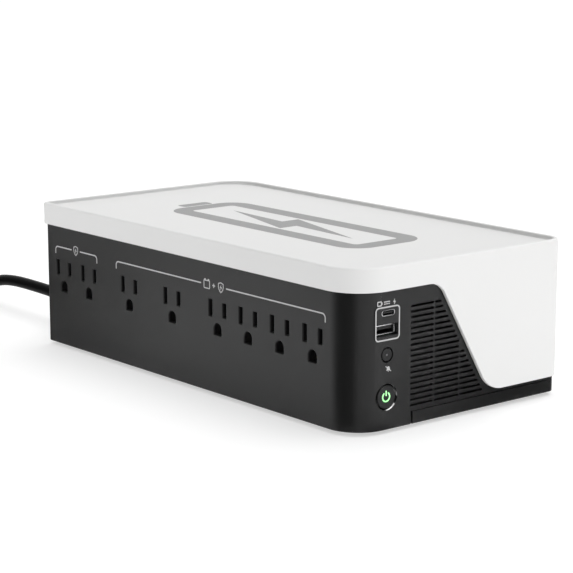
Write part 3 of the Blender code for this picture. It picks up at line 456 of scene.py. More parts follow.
DARK_PART = surface("component_black", (0.02, 0.02, 0.02), 0.45, 0.1, 60, 1500, 0.01)
SLEEVE = surface("capacitor_sleeve", (0.03, 0.035, 0.07), 0.3, 0.1, 40, 900, 0.004)
BOARD = surface("board_solder_mask", (0.012, 0.085, 0.03), 0.35, 0.35, 130, 700, 0.02)
RED_JACKET = surface("red_lead_jacket", (0.5, 0.015, 0.012), 0.35, 0.1, 60, 900, 0.01)
LENS = surface("clear_lens", (0.16, 0.16, 0.165), 0.25, 0.1, 90, 900, 0.003)
COPPER = banded_material("copper_winding", (0.62, 0.26, 0.1), 0.35, "Z", 260, 0.25, 1)
LAMINATED = banded_material("laminated_steel", (0.2, 0.2, 0.21), 0.5, "Y", 420, 0.08, 0.8)
GREEN_LIGHT = light_material("green_light_pipe", (0.34, 1.0, 0.34), (0.66, 1.0, 0.64), 0.72)
GREEN_GLOW = light_material("green_light_behind", (0.03, 0.34, 0.06), (0.04, 0.42, 0.07), 0.5)


def paint(piece, material):
    piece.data.materials.clear()
    piece.data.materials.append(material)


def dress(piece, material, slot, *replaced, body="case"):
    """Gives a new piece its material and its body, and hides the imported nodes that it stands for. The slot
    argument is not used.
    """
    paint(piece, material)
    if replaced:
        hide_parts(*replaced)
    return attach(piece, body)


# ---- camera


def add_camera():
    data = bpy.data.cameras.new("camera")
    data.sensor_width = SENSOR_MM
    data.lens = FOCAL_MM
    camera = put("camera", data)
    camera.location = CAMERA_PLACE
    camera.rotation_euler = (math.radians(CAMERA_TILT), 0, math.radians(CAMERA_TURN))
    bpy.context.scene.camera = camera


# ---- mains lead


COIL_START_RADIUS = 14 * CORD_RADIUS
COIL_X = CORD_X - COIL_START_RADIUS
COIL_Z = CORD_RADIUS + 0.2
TIE_ANGLE = math.pi / 2
TIE_LIFT, TIE_HALF_WIDTH, TIE_CLEARANCE, TIE_OUTSIDE = 0.8, 4, 0.15, 0.85


def smooth_path(points, spacing):
    """Points about a spacing apart along a smooth curve through the given points."""
    points = [Vector(p) for p in points]
    ends = [points[0] * 2 - points[1], *points, points[-1] * 2 - points[-2]]
    path = []
    for a, b, c, d in zip(ends, ends[1:], ends[2:], ends[3:]):
        count = max(1, round((c - b).length / spacing))
        for k in range(count):
            t = k / count
            square = (a * 2 - b * 5 + c * 4 - d) * t * t
            cube = (b * 3 - a - c * 3 + d) * t**3
            path.append((b * 2 + (c - a) * t + square + cube) / 2)
    return [*path, points[-1]]


def coil_point(turns):
    """The wire's centre after so many turns: inwards in a flat spiral, up, and outwards on top of it."""
    pitch = 2 * CORD_RADIUS
    inner_turns, climb = 2.25, 0.25
    radius = COIL_START_RADIUS - pitch * (inner_turns - abs(inner_turns - turns))
    share = min(1, max(0, (turns - inner_turns + climb) / climb))
    height = pitch * share * share * (3 - 2 * share)
    angle = 2 * math.pi * turns
    lift = TIE_LIFT * max(0, math.cos(angle - TIE_ANGLE)) ** 2
    x, y = COIL_X + radius * math.cos(angle), COIL_Y + radius * math.sin(angle)
    return Vector((x, y, COIL_Z + lift + height))


def cord_path():
    """The whole route: from the rear wall, round the coil and on to the plug."""
    lead = [(CORD_X, y, z) for y, z in LEAD_ROUTE]
    turns = [coil_point(COIL_TURNS * k / COIL_STEPS) for k in range(COIL_STEPS + 1)]
    end = turns[-1]
    tail = []
    for k in range(1, TAIL_STEPS + 1):
        share = k / TAIL_STEPS
        ease = share * share * (3 - 2 * share)
        step = Vector(((PLUG_X - end.x) * ease, (PLUG_NECK_Y - end.y) * share, (PLUG_Z - end.z) * ease))
        tail.append(end + step)
    return smooth_path(lead, LEAD_SPACING) + turns + tail


def mains_cord():
    path = cord_path()
    curve = bpy.data.curves.new("mains_cord", "CURVE")
    curve.dimensions = "3D"
    curve.bevel_depth = CORD_RADIUS * MM
    curve.bevel_resolution = 6
    curve.use_fill_caps = True
    spline = curve.splines.new("POLY")
    spline.points.add(len(path) - 1)
    for point, place in zip(spline.points, path):
        point.co = (*(place * MM), 1)
    spline.use_smooth = True
    cord = put("mains_cord", curve)
    return dress(cord, JACKET, "cord_jacket", "power_cord", "cord_tail", "cord_coil")


def strain_relief():
    """A ribbed boot: a flange against the rear wall, then ribs that taper out along the lead."""
    out, inside = HALF_LENGTH + 0.1, HALF_LENGTH - WALL - 0.3
    profile = [(5, inside - 2.5), (8, inside - 2.4), (8, inside), (5.6, inside), (5.6, out), (7.6, out)]
    profile += [(8, out + 0.4), (8, out + 1.6), (7.6, out + 2)]
    ribs = 6
    first, last = out + 2.6, RELIEF_END_Y - 2.2
    pitch = (last - first) / ribs
    for k in range(ribs):
        y = first + pitch * k
        radius = 6.6 - 1.9 * k / ribs
        profile += [(radius - 0.9, y), (radius - 0.9, y + 0.9), (radius - 0.25, y + 1.1), (radius, y + 1.4)]
        profile += [(radius, y + pitch - 0.6), (radius - 0.25, y + pitch - 0.2)]
    profile += [(4.6, last + 0.4), (4.6, RELIEF_END_Y - 0.5), (4.3, RELIEF_END_Y - 0.1), (3.8, RELIEF_END_Y)]
    piece = smooth(lathe("lead_strain_relief", profile, (CORD_X, 0, CORD_Z), "Y"), 50)
    return dress(piece, RUBBER, "relief_rubber", "strain_relief")


def hull(points):
    """The convex outline of flat points, counter-clockwise."""
    points = sorted(points)
    halves = []
    for run in (points, points[::-1]):
        half = []
        for p in run:
            while len(half) > 1:
                (ax, ay), (bx, by) = half[-2:]
                if (bx - ax) * (p[1] - ay) - (by - ay) * (p[0] - ax) > 0:
                    break
                half.pop()
            half.append(p)
        halves += half[:-1]
    return halves


def cord_tie():
    """A strap pulled tight round the turns on the side away from the case, with its buckle on top."""
    share = TIE_ANGLE / (2 * math.pi)
    wires = [coil_point(share + k) for k in range(5)]
    outlines = []
    for clear in (TIE_CLEARANCE, TIE_OUTSIDE):
        circles = [arc((w.y, w.z), CORD_RADIUS + clear, 0, 354, 59) for w in wires]
        outline = hull([p for circle in circles for p in circle])
        outlines.append([(y, max(z, TIE_OUTSIDE - clear)) for y, z in outline])
    strap = prism("coil_tie_strap", outlines, "YZ", COIL_X - TIE_HALF_WIDTH, COIL_X + TIE_HALF_WIDTH)
    top = max(z for _, z in outlines[1])
    block = rectangle(wires[3].y, top + 0.3, 7, 1.6, 0.4)
    buckle = prism("coil_tie_buckle", [block], "YZ", COIL_X - 4.6, COIL_X + 4.6)
    strap = round_edges(fuse(strap, buckle), 0.2)
    return dress(strap, RUBBER, "tie_black", "cord_tie")


def plug_body():
    """A moulded plug: a rounded block behind the blades, finger ridges and a ribbed neck."""
    sections = [(0, 11.0, 9.0, 3.4), (0.5, 12.2, 10.2, 4), (1.6, 13, 11, 4.4), (14, 13, 11, 4.6)]
    for k in range(4):
        y = 15 + 2.2 * k
        waist = 0.35 * k
        sections += [(y, 12.5 - waist, 10.7 - waist, 4.6), (y + 0.7, 12.5 - waist, 10.7 - waist, 4.6)]
        sections += [(y + 1.0, 12.9 - waist, 10.95 - waist, 4.6), (y + 1.9, 12.8 - waist, 10.9 - waist, 4.6)]
    sections += [(24.5, 10.6, 9.3, 5.4), (26.2, 8.4, 8, 6.4), (28, 7.6, 7.6, 7.4)]
    for k in range(4):
        y = 29 + 3 * k
        rib = 6.9 - 0.55 * k
        groove, top = rib - 0.6, rib - 0.1
        sections += [(y, groove, groove, rib - 0.7), (y + 0.8, groove, groove, rib - 0.7)]
        sections += [(y + 1.1, rib, rib, top), (y + 2.6, top, top, rib - 0.2)]
    sections += [(41.4, 4.7, 4.7, 4.6), (42, 4.2, 4.2, 4.1)]
    loops = []
    for y, half_width, half_height, radius in sections:
        flat = plan_loop(half_width, half_height, (radius,) * 4, 0, 8)
        loops.append([(PLUG_X + u, PLUG_FACE_Y + y, PLUG_Z + v) for u, v, _ in flat])
    body = smooth(loft("mains_plug", loops), 50)
    return dress(body, JACKET, "cord_jacket", "plug_body")


def plug_pins():
    """Two flat blades, each with a hole near its tip, and the round ground pin under them."""
    blade_z, pin_z = PLUG_Z + PLUG_DROP / 2, PLUG_Z - PLUG_DROP / 2
    low, high = blade_z - BLADE_HALF_HEIGHT, blade_z + BLADE_HALF_HEIGHT
    tip, root = PLUG_FACE_Y - BLADE_LENGTH, PLUG_FACE_Y + BLADE_ROOT
    pieces = []
    for number, side in enumerate((-1, 1), 1):
        x = PLUG_X + side * SLOT_SPACING / 2
        outline = rounded([(root, low, 0), (tip, low, 1.2), (tip, high, 1.2), (root, high, 0)])
        hole = arc((tip + 4, blade_z), 1.3, 0, 345, 23)
        blade = prism(f"blade_{number}", [outline, hole], "YZ", x - BLADE_HALF_WIDTH, x + BLADE_HALF_WIDTH)
        round_edges(blade, 0.15)
        pieces.append(dress(blade, BRASS, "contact_brass", f"plug_blade_{number}"))
    profile = [(1.0, -21), (1.7, -20.6), (2.2, -19.6), (2.4, -18.2), (2.4, BLADE_ROOT)]
    pin = smooth(lathe("ground_pin", profile, (PLUG_X, PLUG_FACE_Y, pin_z), "Y", 32), 50)
    pieces.append(dress(pin, BRASS, "contact_brass", "plug_ground_pin"))
    return pieces


add_camera()
cord = mains_cord()
with_cord = [strain_relief(), cord_tie(), plug_body(), *plug_pins()]


# ---- case


def case_body(name, profile):
    """A closed body whose plan is the case's outline, inset at each height of the profile."""
    loops = []
    for inset, z in profile:
        radii = [max(radius - inset, 0.4) for radius in CASE_RADII]
        loops.append(plan_loop(HALF_WIDTH - inset, HALF_LENGTH - inset, radii, z))
    return loft(name, loops)


def bottom_edge():
    """The rounded lower edge of the case as (inset, height) points, from underneath up to the wall."""
    centre = (BOTTOM_RADIUS, BASE_Z + BOTTOM_RADIUS)
    return [(BOTTOM_RADIUS * 2.2, BASE_Z), *arc(centre, BOTTOM_RADIUS, 270, 180, 5)]


def slot_outline(grow, y, height):
    return rectangle(y, SLOT_Z, SLOT_WIDTH + 2 * grow, height + 2 * grow, 0.25 + grow * 0.8)


def ground_outline(grow, y):
    """A square opening with an arched top."""
    z, half = SLOT_Z - GROUND_DROP, GROUND_SIZE / 2 + grow
    small, large = 0.4 + grow * 0.8, half * 0.98
    corners = [(y - half, z - half, small), (y + half, z - half, small)]
    return rounded([*corners, (y + half, z + half, large), (y - half, z + half, large)], 9)


def opening(outline, *measures):
    """An opening through the outlet side whose outline grows at its mouth."""
    loops = [[(depth - HALF_WIDTH, u, v) for u, v in outline(grow, *measures)] for depth, grow in FUNNEL]
    return loft("opening", loops)


def socket_tools():
    """Openings for the blades and the round pin of each outlet."""
    tools = []
    for y in OUTLETS_Y:
        tools.append(opening(slot_outline, y + SLOT_SPACING / 2, NEUTRAL_HEIGHT))
        tools.append(opening(slot_outline, y - SLOT_SPACING / 2, HOT_HEIGHT))
        tools.append(opening(ground_outline, y))
    return tools


def vent_tool():
    """The rows of the front vents, broken by two ribs, with right ends that follow the slanting cover."""
    outlines = []
    for row in range(VENT_ROWS):
        z = VENT_TOP_Z - row * VENT_PITCH
        end = VENT_FIRST_END_X + row * VENT_END_STEP
        starts = [VENT_LEFT_X, *[rib[1] for rib in VENT_RIBS]]
        stops = [*[rib[0] for rib in VENT_RIBS], end]
        for start, stop in zip(starts, stops):
            stop = min(stop, end)
            if stop - start > 2:
                outlines.append(rectangle((start + stop) / 2, z, stop - start, VENT_HEIGHT, 0.3))
    return prism("vents", outlines, "XZ", -HALF_LENGTH - BEYOND, -HALF_LENGTH + 5)


def rear_tool():
    """The rear vents and the round holes for the lead and the breaker."""
    outlines = []
    for row in range(REAR_VENT_ROWS):
        z = VENT_TOP_Z - 3 * row * VENT_PITCH
        end = VENT_FIRST_END_X + 3 * row * VENT_END_STEP
        middle, width = (REAR_VENT_LEFT_X + end) / 2, end - REAR_VENT_LEFT_X
        outlines.append(rectangle(middle, z, width, REAR_VENT_HEIGHT, 0.8))
    outlines.append(arc((CORD_X, CORD_Z), CORD_HOLE, 0, 350, 35))
    outlines.append(arc((BREAKER_X, BREAKER_Z), BREAKER_HOLE, 0, 350, 35))
    return prism("rear_holes", outlines, "XZ", HALF_LENGTH - 5, HALF_LENGTH + BEYOND)


def panel_tool():
    """The holes for the two buttons and the two ports."""
    outlines = [
        arc((PANEL_X, POWER_Z), POWER_HOLE, 0, 355, 71),
        arc((PANEL_X, MUTE_Z), MUTE_HOLE, 0, 352.5, 47),
        rectangle(*USB_C, *USB_C_HOLE),
        rectangle(*USB_A, *USB_A_HOLE),
    ]
    return prism("panel_holes", outlines, "XZ", -HALF_LENGTH - BEYOND, -HALF_LENGTH + 5)


def door_recess_tools():
    """The room for the battery door, a seam wider on every side, and the bay over it."""
    far, under = HALF_LENGTH + BEYOND, BASE_Z - 1
    left, rear, lip = DOOR_LEFT_X - 4 * SEAM, DOOR_REAR_Y + SEAM, DOOR_LIP_Z + SEAM
    return [
        box("plate_recess", (left, -far, under), (far, rear, BASE_Z + DOOR_PLATE + SEAM)),
        box("front_recess", (left, -far, under), (far, -HALF_LENGTH + WALL + SEAM, lip)),
        box("side_recess", (HALF_WIDTH - WALL - SEAM, -far, under), (far, rear, lip)),
        box("corner_recess", (HALF_WIDTH - 4, -far, under), (far, -HALF_LENGTH + 4, lip)),
        box("bay", (*BAY_LOW, under), (*BAY_HIGH, FLOOR_TOP_Z + 2)),
    ]


def over_door(x, y):
    return x > DOOR_LEFT_X and y < DOOR_REAR_Y


def screw_tools():
    """Bosses round the case screws, and the stepped holes up through them."""
    bosses, holes = [], []
    for x, y in SCREWS:
        low = BASE_Z + DOOR_PLATE + SEAM if over_door(x, y) else BASE_Z
        boss = [(BOSS_RADIUS, low + 0.5), (BOSS_RADIUS, BOSS_TOP_Z)]
        bosses.append(lathe("boss", boss, (x, y, 0), steps=32))
        step = low + HEAD_HOLE_DEPTH
        hole = [(HEAD_HOLE, 0), (HEAD_HOLE, step), (SHANK_HOLE, step), (SHANK_HOLE, HOLE_TOP_Z)]
        holes.append(lathe("screw_hole", hole, (x, y, 0), steps=32))
    return bosses, holes


def case_shell():
    """The case with all its openings and the screw bosses."""
    top = [(0, CASE_TOP_Z - TOP_CHAMFER), (TOP_CHAMFER, CASE_TOP_Z), (WALL, CASE_TOP_Z)]
    shell = case_body("case_shell", [*bottom_edge(), *top, (WALL, FLOOR_TOP_Z)])
    bosses, holes = screw_tools()
    fuse(shell, *bosses)
    cut(shell, *door_recess_tools())
    cut(shell, *holes, join("sockets", socket_tools()), vent_tool(), rear_tool(), panel_tool())
    round_edges(shell, CASE_ROUNDING)
    dress(shell, CASE_BLACK, "case_black", "main_shell")


def battery_door():
    """A plate with lips up the front and the right side, and finger grips underneath."""
    lips = [(0, DOOR_LIP_Z), (DOOR_PLATE, DOOR_LIP_Z), (DOOR_PLATE, BASE_Z + DOOR_PLATE)]
    door = case_body("battery_door", bottom_edge() + lips)
    far, top = HALF_LENGTH + BEYOND, DOOR_LIP_Z + 1
    trim_left = box("trim_left", (-far, -far, 0), (DOOR_LEFT_X, far, top))
    trim_rear = box("trim_rear", (-far, DOOR_REAR_Y, 0), (far, far, top))
    cut(door, trim_left, trim_rear)
    grips = [rectangle(GRIP_X, GRIP_FRONT_Y + GRIP_PITCH * k, *GRIP_SIZE) for k in range(GRIPS)]
    cut(door, prism("grips", [*grips, DOOR_ARROW], "XY", BASE_Z - 1, BASE_Z + GRIP_DEPTH))
    round_edges(door, CASE_ROUNDING)
    dress(door, CASE_BLACK, "case_black", "battery_cover", body="battery_cover")


def feet():
    """Soft feet with a rounded edge and a shallow dished sole."""
    for number, (x, y) in enumerate(FEET, 1):
        body = "battery_cover" if number == len(FEET) else "case"
        foot = smooth(lathe(f"rubber_foot_{number}", FOOT, (x, y, 0)), 50)
        dress(foot, RUBBER, "foot_rubber", f"foot_{number}", body=body)


def case_screws():
    """Pan-head screws with a cross recess, seen from underneath."""
    for number, (x, y) in enumerate(SCREWS, 1):
        low = (BASE_Z + DOOR_PLATE if over_door(x, y) else BASE_Z) + 0.3
        screw = lathe(f"pan_screw_{number}", [(r, low + h) for r, h in SCREW], (x, y, 0), steps=32)
        for width, height in ((2.8, 0.7), (0.7, 2.8)):
            outline = rectangle(x, y, width, height, 0.1)
            cut(screw, prism("drive", [outline], "XY", low - 1, low + 1.1))
        dress(smooth(screw, 40), STEEL, "screw_steel", f"case_screw_{number}")


# ---- cover


def s_curve_tool():
    """Everything under the cover's lower edge: the skirt, the S and the long low edge."""
    far = 120
    corners = [(-far, -1, 0), (far, -1, 0), (far, APRON_Z, 0), (S_BOTTOM_X, APRON_Z, S_BOTTOM_RADIUS)]
    corners += [(S_TOP_X, SKIRT_Z, S_TOP_RADIUS), (-far, SKIRT_Z, 0)]
    return prism("s_curve", [rounded(corners, 2.5)], "XZ", -300, 300)


def cover_loop(inset, z, radii):
    return plan_loop(HALF_WIDTH + OVERHANG - inset, HALF_LENGTH + OVERHANG - inset, radii, z)


def cover_profile():
    """(inset, height) points from the tray floor over the rim to the top of the wall's outside."""
    outer, inner, foot = RIM_OUTER_RADIUS, RIM_INNER_RADIUS, RIM_FOOT_RADIUS
    points = [(RIM_WIDTH + 5, TRAY_Z), (RIM_WIDTH + foot + 1.5, TRAY_Z)]
    points += arc((RIM_WIDTH + foot, TRAY_Z + foot), foot, 270, 180, 5)
    points += arc((RIM_WIDTH - inner, RIM_TOP_Z - inner), inner, 0, 90, 4)
    points += arc((outer, RIM_TOP_Z - outer), outer, 90, 180, 6)
    return points


def cover_shell():
    """The tray, rim and walls, cut along the S edge, with a post over each case screw."""
    low = APRON_Z - 6
    loops = []
    for inset, z in cover_profile() + [(0, low)]:
        radii = [max(radius - inset, 1.2) for radius in COVER_RADII]
        loops.append(cover_loop(inset, z, radii))
    loops += [cover_loop(COVER_WALL, z, COVER_INNER_RADII) for z in (low, TRAY_UNDERSIDE_Z)]
    cover = loft("cover_shell", loops)
    cut(cover, s_curve_tool())
    post = [(POST_RADIUS, POST_FOOT_Z), (POST_RADIUS, TRAY_UNDERSIDE_Z + 1)]
    fuse(cover, *[lathe("post", post, (x, y, 0), steps=32) for x, y in SCREWS])
    pilot = [(SHANK_HOLE, 0), (SHANK_HOLE, PILOT_TOP_Z)]
    cut(cover, *[lathe("pilot", pilot, (x, y, 0), steps=24) for x, y in SCREWS])
    round_edges(cover, COVER_ROUNDING, 3, 50)
    dress(cover, COVER_WHITE, "cover_white", "top_cover")


# ---- printed marks


def stroke(points, width, closed=False):
    """The outline or outlines of a line of a width along flat points."""
    points = [Vector(p) for p in points]
    count = len(points)
    sides = ([], [])
    for k, point in enumerate(points):
        before = points[k - 1] if k or closed else point
        after = points[(k + 1) % count] if k < count - 1 or closed else point
        arriving, leaving = point - before, after - point
        into = (arriving if arriving.length > TINY else leaving).normalized()
        out = leaving.normalized() if leaving.length > TINY else into
        along = (into + out).normalized()
        normal = Vector((-along.y, along.x))
        reach = width / 2 / max(0.5, along.dot(into))
        sides[0].append(tuple(point + normal * reach))
        sides[1].append(tuple(point - normal * reach))
    return list(sides) if closed else [sides[0] + sides[1][::-1]]


def open_rounded(points, radius, step=10):
    """A line with its inner corners rounded."""
    points = [Vector(p) for p in points]
    made = [tuple(points[0])]
    for before, corner, after in zip(points, points[1:], points[2:]):
        closed = rounded([(*before, 0), (*corner, radius), (*after, 0)], step)
        made += closed[1:-1]
    return [*made, tuple(points[-1])]


def moved(outlines, x, y, scale=1, mirror=1):
    return [[(x + px * scale * mirror, y + py * scale) for px, py in outline] for outline in outlines]


BOLT = [(0.18, 1.0), (-0.58, -0.12), (-0.06, -0.12), (-0.18, -1.0), (0.58, 0.16), (0.06, 0.16)]


def shield_icon():
    """A surge symbol: a shield outline round a bolt."""
    right = [(0, 2.7), (1.2, 2.35), (2.15, 2.05), (2.2, 0.2), (1.75, -1.15), (0.95, -2.2), (0, -2.85)]
    edge = right + [(-x, y) for x, y in right[-2:0:-1]]
    return stroke(edge, 0.55, closed=True) + moved([BOLT], 0, -0.1, BOLT_SCALE)


def battery_icon():
    """A battery symbol: a case outline with two terminals."""
    terminals = [rectangle(-1.6, 2.75, 1.3, 0.7), rectangle(1.6, 2.75, 1.3, 0.7)]
    return stroke(rectangle(0, -0.1, 5.2, 4.4, 0.4), ICON_LINE, closed=True) + terminals


def plus_icon():
    arm, half = 1.2, 0.3
    outline, quarter = [], [(-arm, -half), (-half, -half), (-half, -arm)]
    for _ in range(4):
        outline += quarter
        quarter = [(-y, x) for x, y in quarter]
    return [outline]


def bell_icon():
    """A muted alarm symbol: a bell with its clapper, and the stroke through it."""
    right = [(0, 1.4), (0.6, 1.15), (1.0, 0.5), (1.1, -0.5), (1.5, -0.9)]
    bell = [(-x, y) for x, y in right[:0:-1]] + right
    clapper = [(-0.45, -1.15), (0.45, -1.15), (0.2, -1.5), (-0.2, -1.5)]
    return [bell, clapper], stroke([(-1.9, 1.5), (1.9, -1.5)], 0.42)


def print_mark(name, outlines, plane, low, high, material=PRINT_GREY):
    """A flat print standing a hair proud of a surface."""
    dress(prism(name, outlines, plane, low, high), material, "print_grey")


def side_print(name, outlines):
    print_mark(name, outlines, "YZ", -HALF_WIDTH - PRINT_THICKNESS, -HALF_WIDTH)


def front_print(name, outlines, thickness=PRINT_THICKNESS):
    print_mark(name, outlines, "XZ", -HALF_LENGTH - thickness, -HALF_LENGTH)


def bracket(ends, gap):
    """A bracket over a bank of outlets: a line with a foot at each end and a gap for the symbols."""
    outlines = []
    for end, stop in ((ends[1], gap[0]), (ends[0], gap[1])):
        line = [(end, BRACKET_FOOT_Z), (end, BRACKET_Z), (stop, BRACKET_Z)]
        if end == ends[0]:
            line.reverse()
        outlines += stroke(open_rounded(line, BRACKET_RADIUS), PRINT_LINE)
    return outlines


def side_prints():
    """The brackets over the two banks of outlets and their symbols."""
    side_print("print_bracket_surge", bracket(SURGE_BRACKET, SURGE_BREAK))
    side_print("print_icon_surge", moved(shield_icon(), SURGE_ICON_Y, BRACKET_Z, mirror=-1))
    side_print("print_bracket_battery", bracket(BATTERY_BRACKET, BATTERY_BREAK))
    side_print("print_icon_battery", moved(battery_icon(), BATTERY_ICON_Y, BRACKET_Z, mirror=-1))
    side_print("print_icon_plus", moved(plus_icon(), PLUS_ICON_Y, BRACKET_Z))
    side_print("print_icon_battery_surge", moved(shield_icon(), SHIELD_ICON_Y, BRACKET_Z, mirror=-1))


def front_prints():
    """The frame round the ports, its symbols, and the bell under the mute button."""
    front_print("print_usb_frame", stroke(rectangle(*PORT_FRAME), PRINT_LINE, closed=True))
    cell = stroke(rectangle(CELL_X, PORT_MARK_Z, 2.6, 2.1, 0.3), ICON_LINE, closed=True)
    front_print("print_usb_cell", [*cell, rectangle(CELL_X + 1.8, PORT_MARK_Z, 0.5, 1.2)])
    dashes = [rectangle(SUPPLY_X + 1.5 * k, PORT_MARK_Z - 0.5, 1.1, 0.55) for k in (-1, 0, 1)]
    front_print("print_usb_supply", [rectangle(SUPPLY_X, PORT_MARK_Z + 0.6, 4.2, 0.55), *dashes])
    front_print("print_usb_charge", moved([BOLT], CHARGE_X, PORT_MARK_Z, BOLT_SCALE))
    bell, slash = bell_icon()
    front_print("print_mute_bell", moved(bell, *BELL_PLACE))
    front_print("print_mute_slash", moved(slash, *BELL_PLACE), SLASH_THICKNESS)


def tray_mark():
    """A large printed battery symbol with a bolt through it, across the tray."""
    half_length, half_width, line = 88, 28, 12
    body = stroke(rectangle(0, 0, 2 * half_width - line, 2 * half_length - line, 9), line, closed=True)
    cap = rectangle(0, half_length + 5.5, 22, 8, 2)
    bolt = [(x * 24, y * 60) for x, y in BOLT]
    outlines = moved([*body, cap, bolt], *TRAY_MARK_PLACE)
    print_mark("print_tray_mark", outlines, "XY", TRAY_Z, TRAY_Z + PRINT_THICKNESS, MARK_GREY)


# ---- buttons and ports


def panel_lathe(name, profile, z, steps):
    """A body turned about an axis square to the panel, from (radius, depth) points."""
    return lathe(name, [(r, depth - HALF_LENGTH) for r, depth in profile], (PANEL_X, 0, z), "Y", steps)


def turned_ring(name, profile, z, steps=72):
    """A closed ring turned about an axis square to the panel, from a closed (radius, depth) outline."""
    loops = []
    for k in range(steps):
        across, up = math.cos(2 * math.pi * k / steps), math.sin(2 * math.pi * k / steps)
        loops.append([(PANEL_X + r * across, depth - HALF_LENGTH, z + r * up) for r, depth in profile])
    return smooth(loft(name, loops, closed=True), 20)


def power_symbol(name, margin, low_depth, high_depth):
    """The open ring and the bar of a power symbol, with round ends."""
    centre, half = (PANEL_X, POWER_Z), SYMBOL_HALF_LINE + margin
    first, last = 90 + SYMBOL_GAP, 450 - SYMBOL_GAP
    ring = arc(centre, SYMBOL_RADIUS + half, first, last, 44)
    ring += arc(on_circle(centre, SYMBOL_RADIUS, last), half, last, last + 180, 10)[1:-1]
    ring += arc(centre, SYMBOL_RADIUS - half, last, first, 44)
    ring += arc(on_circle(centre, SYMBOL_RADIUS, first), half, first - 180, first, 10)[1:-1]
    bar = rectangle(PANEL_X, POWER_Z + BAR_RISE, 2 * half, BAR_LENGTH + 2 * margin, half * 0.98)
    low, high = low_depth - HALF_LENGTH, high_depth - HALF_LENGTH
    return prism(name + "_arc", [ring], "XZ", low, high), prism(name + "_bar", [bar], "XZ", low, high)


def power_button():
    """A bezel ring let into the panel, a dished button cap and a lit power symbol set in it."""
    dress(turned_ring("power_bezel", BEZEL, POWER_Z), POLISHED_DARK, "button_black")

    cap = panel_lathe("power_button_cap", POWER_CAP, POWER_Z, 72)
    hollow = panel_lathe("hollow", CAP_HOLLOW, POWER_Z, 48)
    cut(cap, hollow, *power_symbol("symbol_hole", SYMBOL_CLEARANCE, -1, 2))
    dress(smooth(cap, 30), BUTTON_BLACK, "button_black", "power_button", body="power_button")

    symbol = join("power_symbol_lit", power_symbol("power_symbol", 0, 0.3, 1.9))
    dress(smooth(symbol), GREEN_LIGHT, "power_light", "power_lens", body="power_button")
    diffuser = panel_lathe("power_diffuser", DIFFUSER, POWER_Z, 40)
    dress(smooth(diffuser), GREEN_GLOW, "power_light", body="power_button")


def mute_button():
    """A small domed cap with an indicator lamp in its middle."""
    cap = panel_lathe("mute_button_cap", MUTE_CAP, MUTE_Z, 56)
    cut(cap, panel_lathe("lens_hole", LAMP_HOLE, MUTE_Z, 24))
    dress(smooth(cap, 30), BUTTON_BLACK, "button_black", "mute_button", body="mute_button")
    lens = panel_lathe("mute_lamp", MUTE_LAMP, MUTE_Z, 24)
    dress(smooth(lens, 60), LENS, "lens_clear", "mute_lens", body="mute_button")


def port_shell(name, node, place, outside, inside, front):
    """The metal shell of a port, closed at its back."""
    outer, inner = rectangle(*place, *outside), rectangle(*place, *inside)
    shell = prism(name, [outer, inner], "XZ", front, PORT_BACK_Y)
    back = prism("port_back", [outer], "XZ", PORT_BACK_Y - 0.5, PORT_BACK_Y)
    round_edges(fuse(shell, back), 0.09)
    dress(shell, PORT_METAL, "port_metal", node)


def usb_ports():
    port_shell("usb_a_metal", "usb_a_shell", USB_A, USB_A_OUTSIDE, USB_A_INSIDE, USB_A_FRONT_Y)
    outlines = [rectangle(*USB_A, *LINER_OUTSIDE), rectangle(*USB_A, *LINER_INSIDE)]
    liner = prism("usb_a_liner", outlines, "XZ", LINER_FRONT_Y, PORT_BACK_Y)
    dress(round_edges(liner, 0.06), DARK_PART, "port_tongue")
    port_shell("usb_c_metal", "usb_c_shell", USB_C, USB_C_OUTSIDE, USB_C_INSIDE, USB_C_FRONT_Y)


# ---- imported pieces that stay


NODE_MATERIALS = {
    CARRIER: ("carrier_battery", "carrier_surge"),
    BRASS: (
        "neutral_strip", "hot_strip_battery", "hot_strip_surge", "ground_strip",
        "terminal_positive", "terminal_negative",
    ),
    BOARD: ("main_board", "front_board"),
    MID_GREY: ("battery", "power_switch", "mute_switch", "breaker_button"),
    RED_JACKET: ("lead_positive",),
    JACKET: ("lead_negative",),
    LAMINATED: ("transformer_core",),
    COPPER: ("transformer_winding",),
    ALUMINIUM: ("heat_sink",),
    DARK_PART: (
        "relay_1", "relay_2", "buzzer", "breaker_body", "breaker_nut", "usb_a_tongue", "usb_c_tongue",
    ),
    SLEEVE: ("capacitor_1", "capacitor_2", "capacitor_3"),
}


def dress_nodes():
    """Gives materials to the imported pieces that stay."""
    for material, names in NODE_MATERIALS.items():
        for name in names:
            paint(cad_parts[name], material)


# ---- floor and light


def add_light(name, kind, strength, towards):
    """A light that shines from a direction towards the object."""
    data = bpy.data.lights.new(name, kind)
    data.energy = strength
    light = put(name, data)
    light.rotation_euler = Vector(towards).to_track_quat("Z", "Y").to_euler()
    return light


def strip_light(name, place, watts):
    """A long strip light standing on the floor, lower than the cover, that faces the object."""
    light = add_light(name, "AREA", watts, (place[0], place[1], 0))
    light.data.shape = "RECTANGLE"
    light.data.size, light.data.size_y = STRIP_LENGTH, STRIP_HEIGHT
    light.location = place
    light.visible_camera = False
    light.visible_glossy = False


def reflection_flag(name, loop, density):
    """A card of black gauze, dull black mixed with clear, that only reflections see."""
    bm = bmesh.new()
    bm.faces.new([bm.verts.new(Vector(p) * MM) for p in loop])
    flag = mesh_object(name, bm)
    gauze, _, shader = new_material(name)
    assign(shader, {"Base Color": (0.002, 0.002, 0.002, 1), "Specular IOR Level": 0, "Alpha": density})
    flag.data.materials.append(gauze)
    flag.visible_camera = False
    flag.visible_diffuse = False
    flag.visible_transmission = False
    flag.visible_shadow = False
    return flag


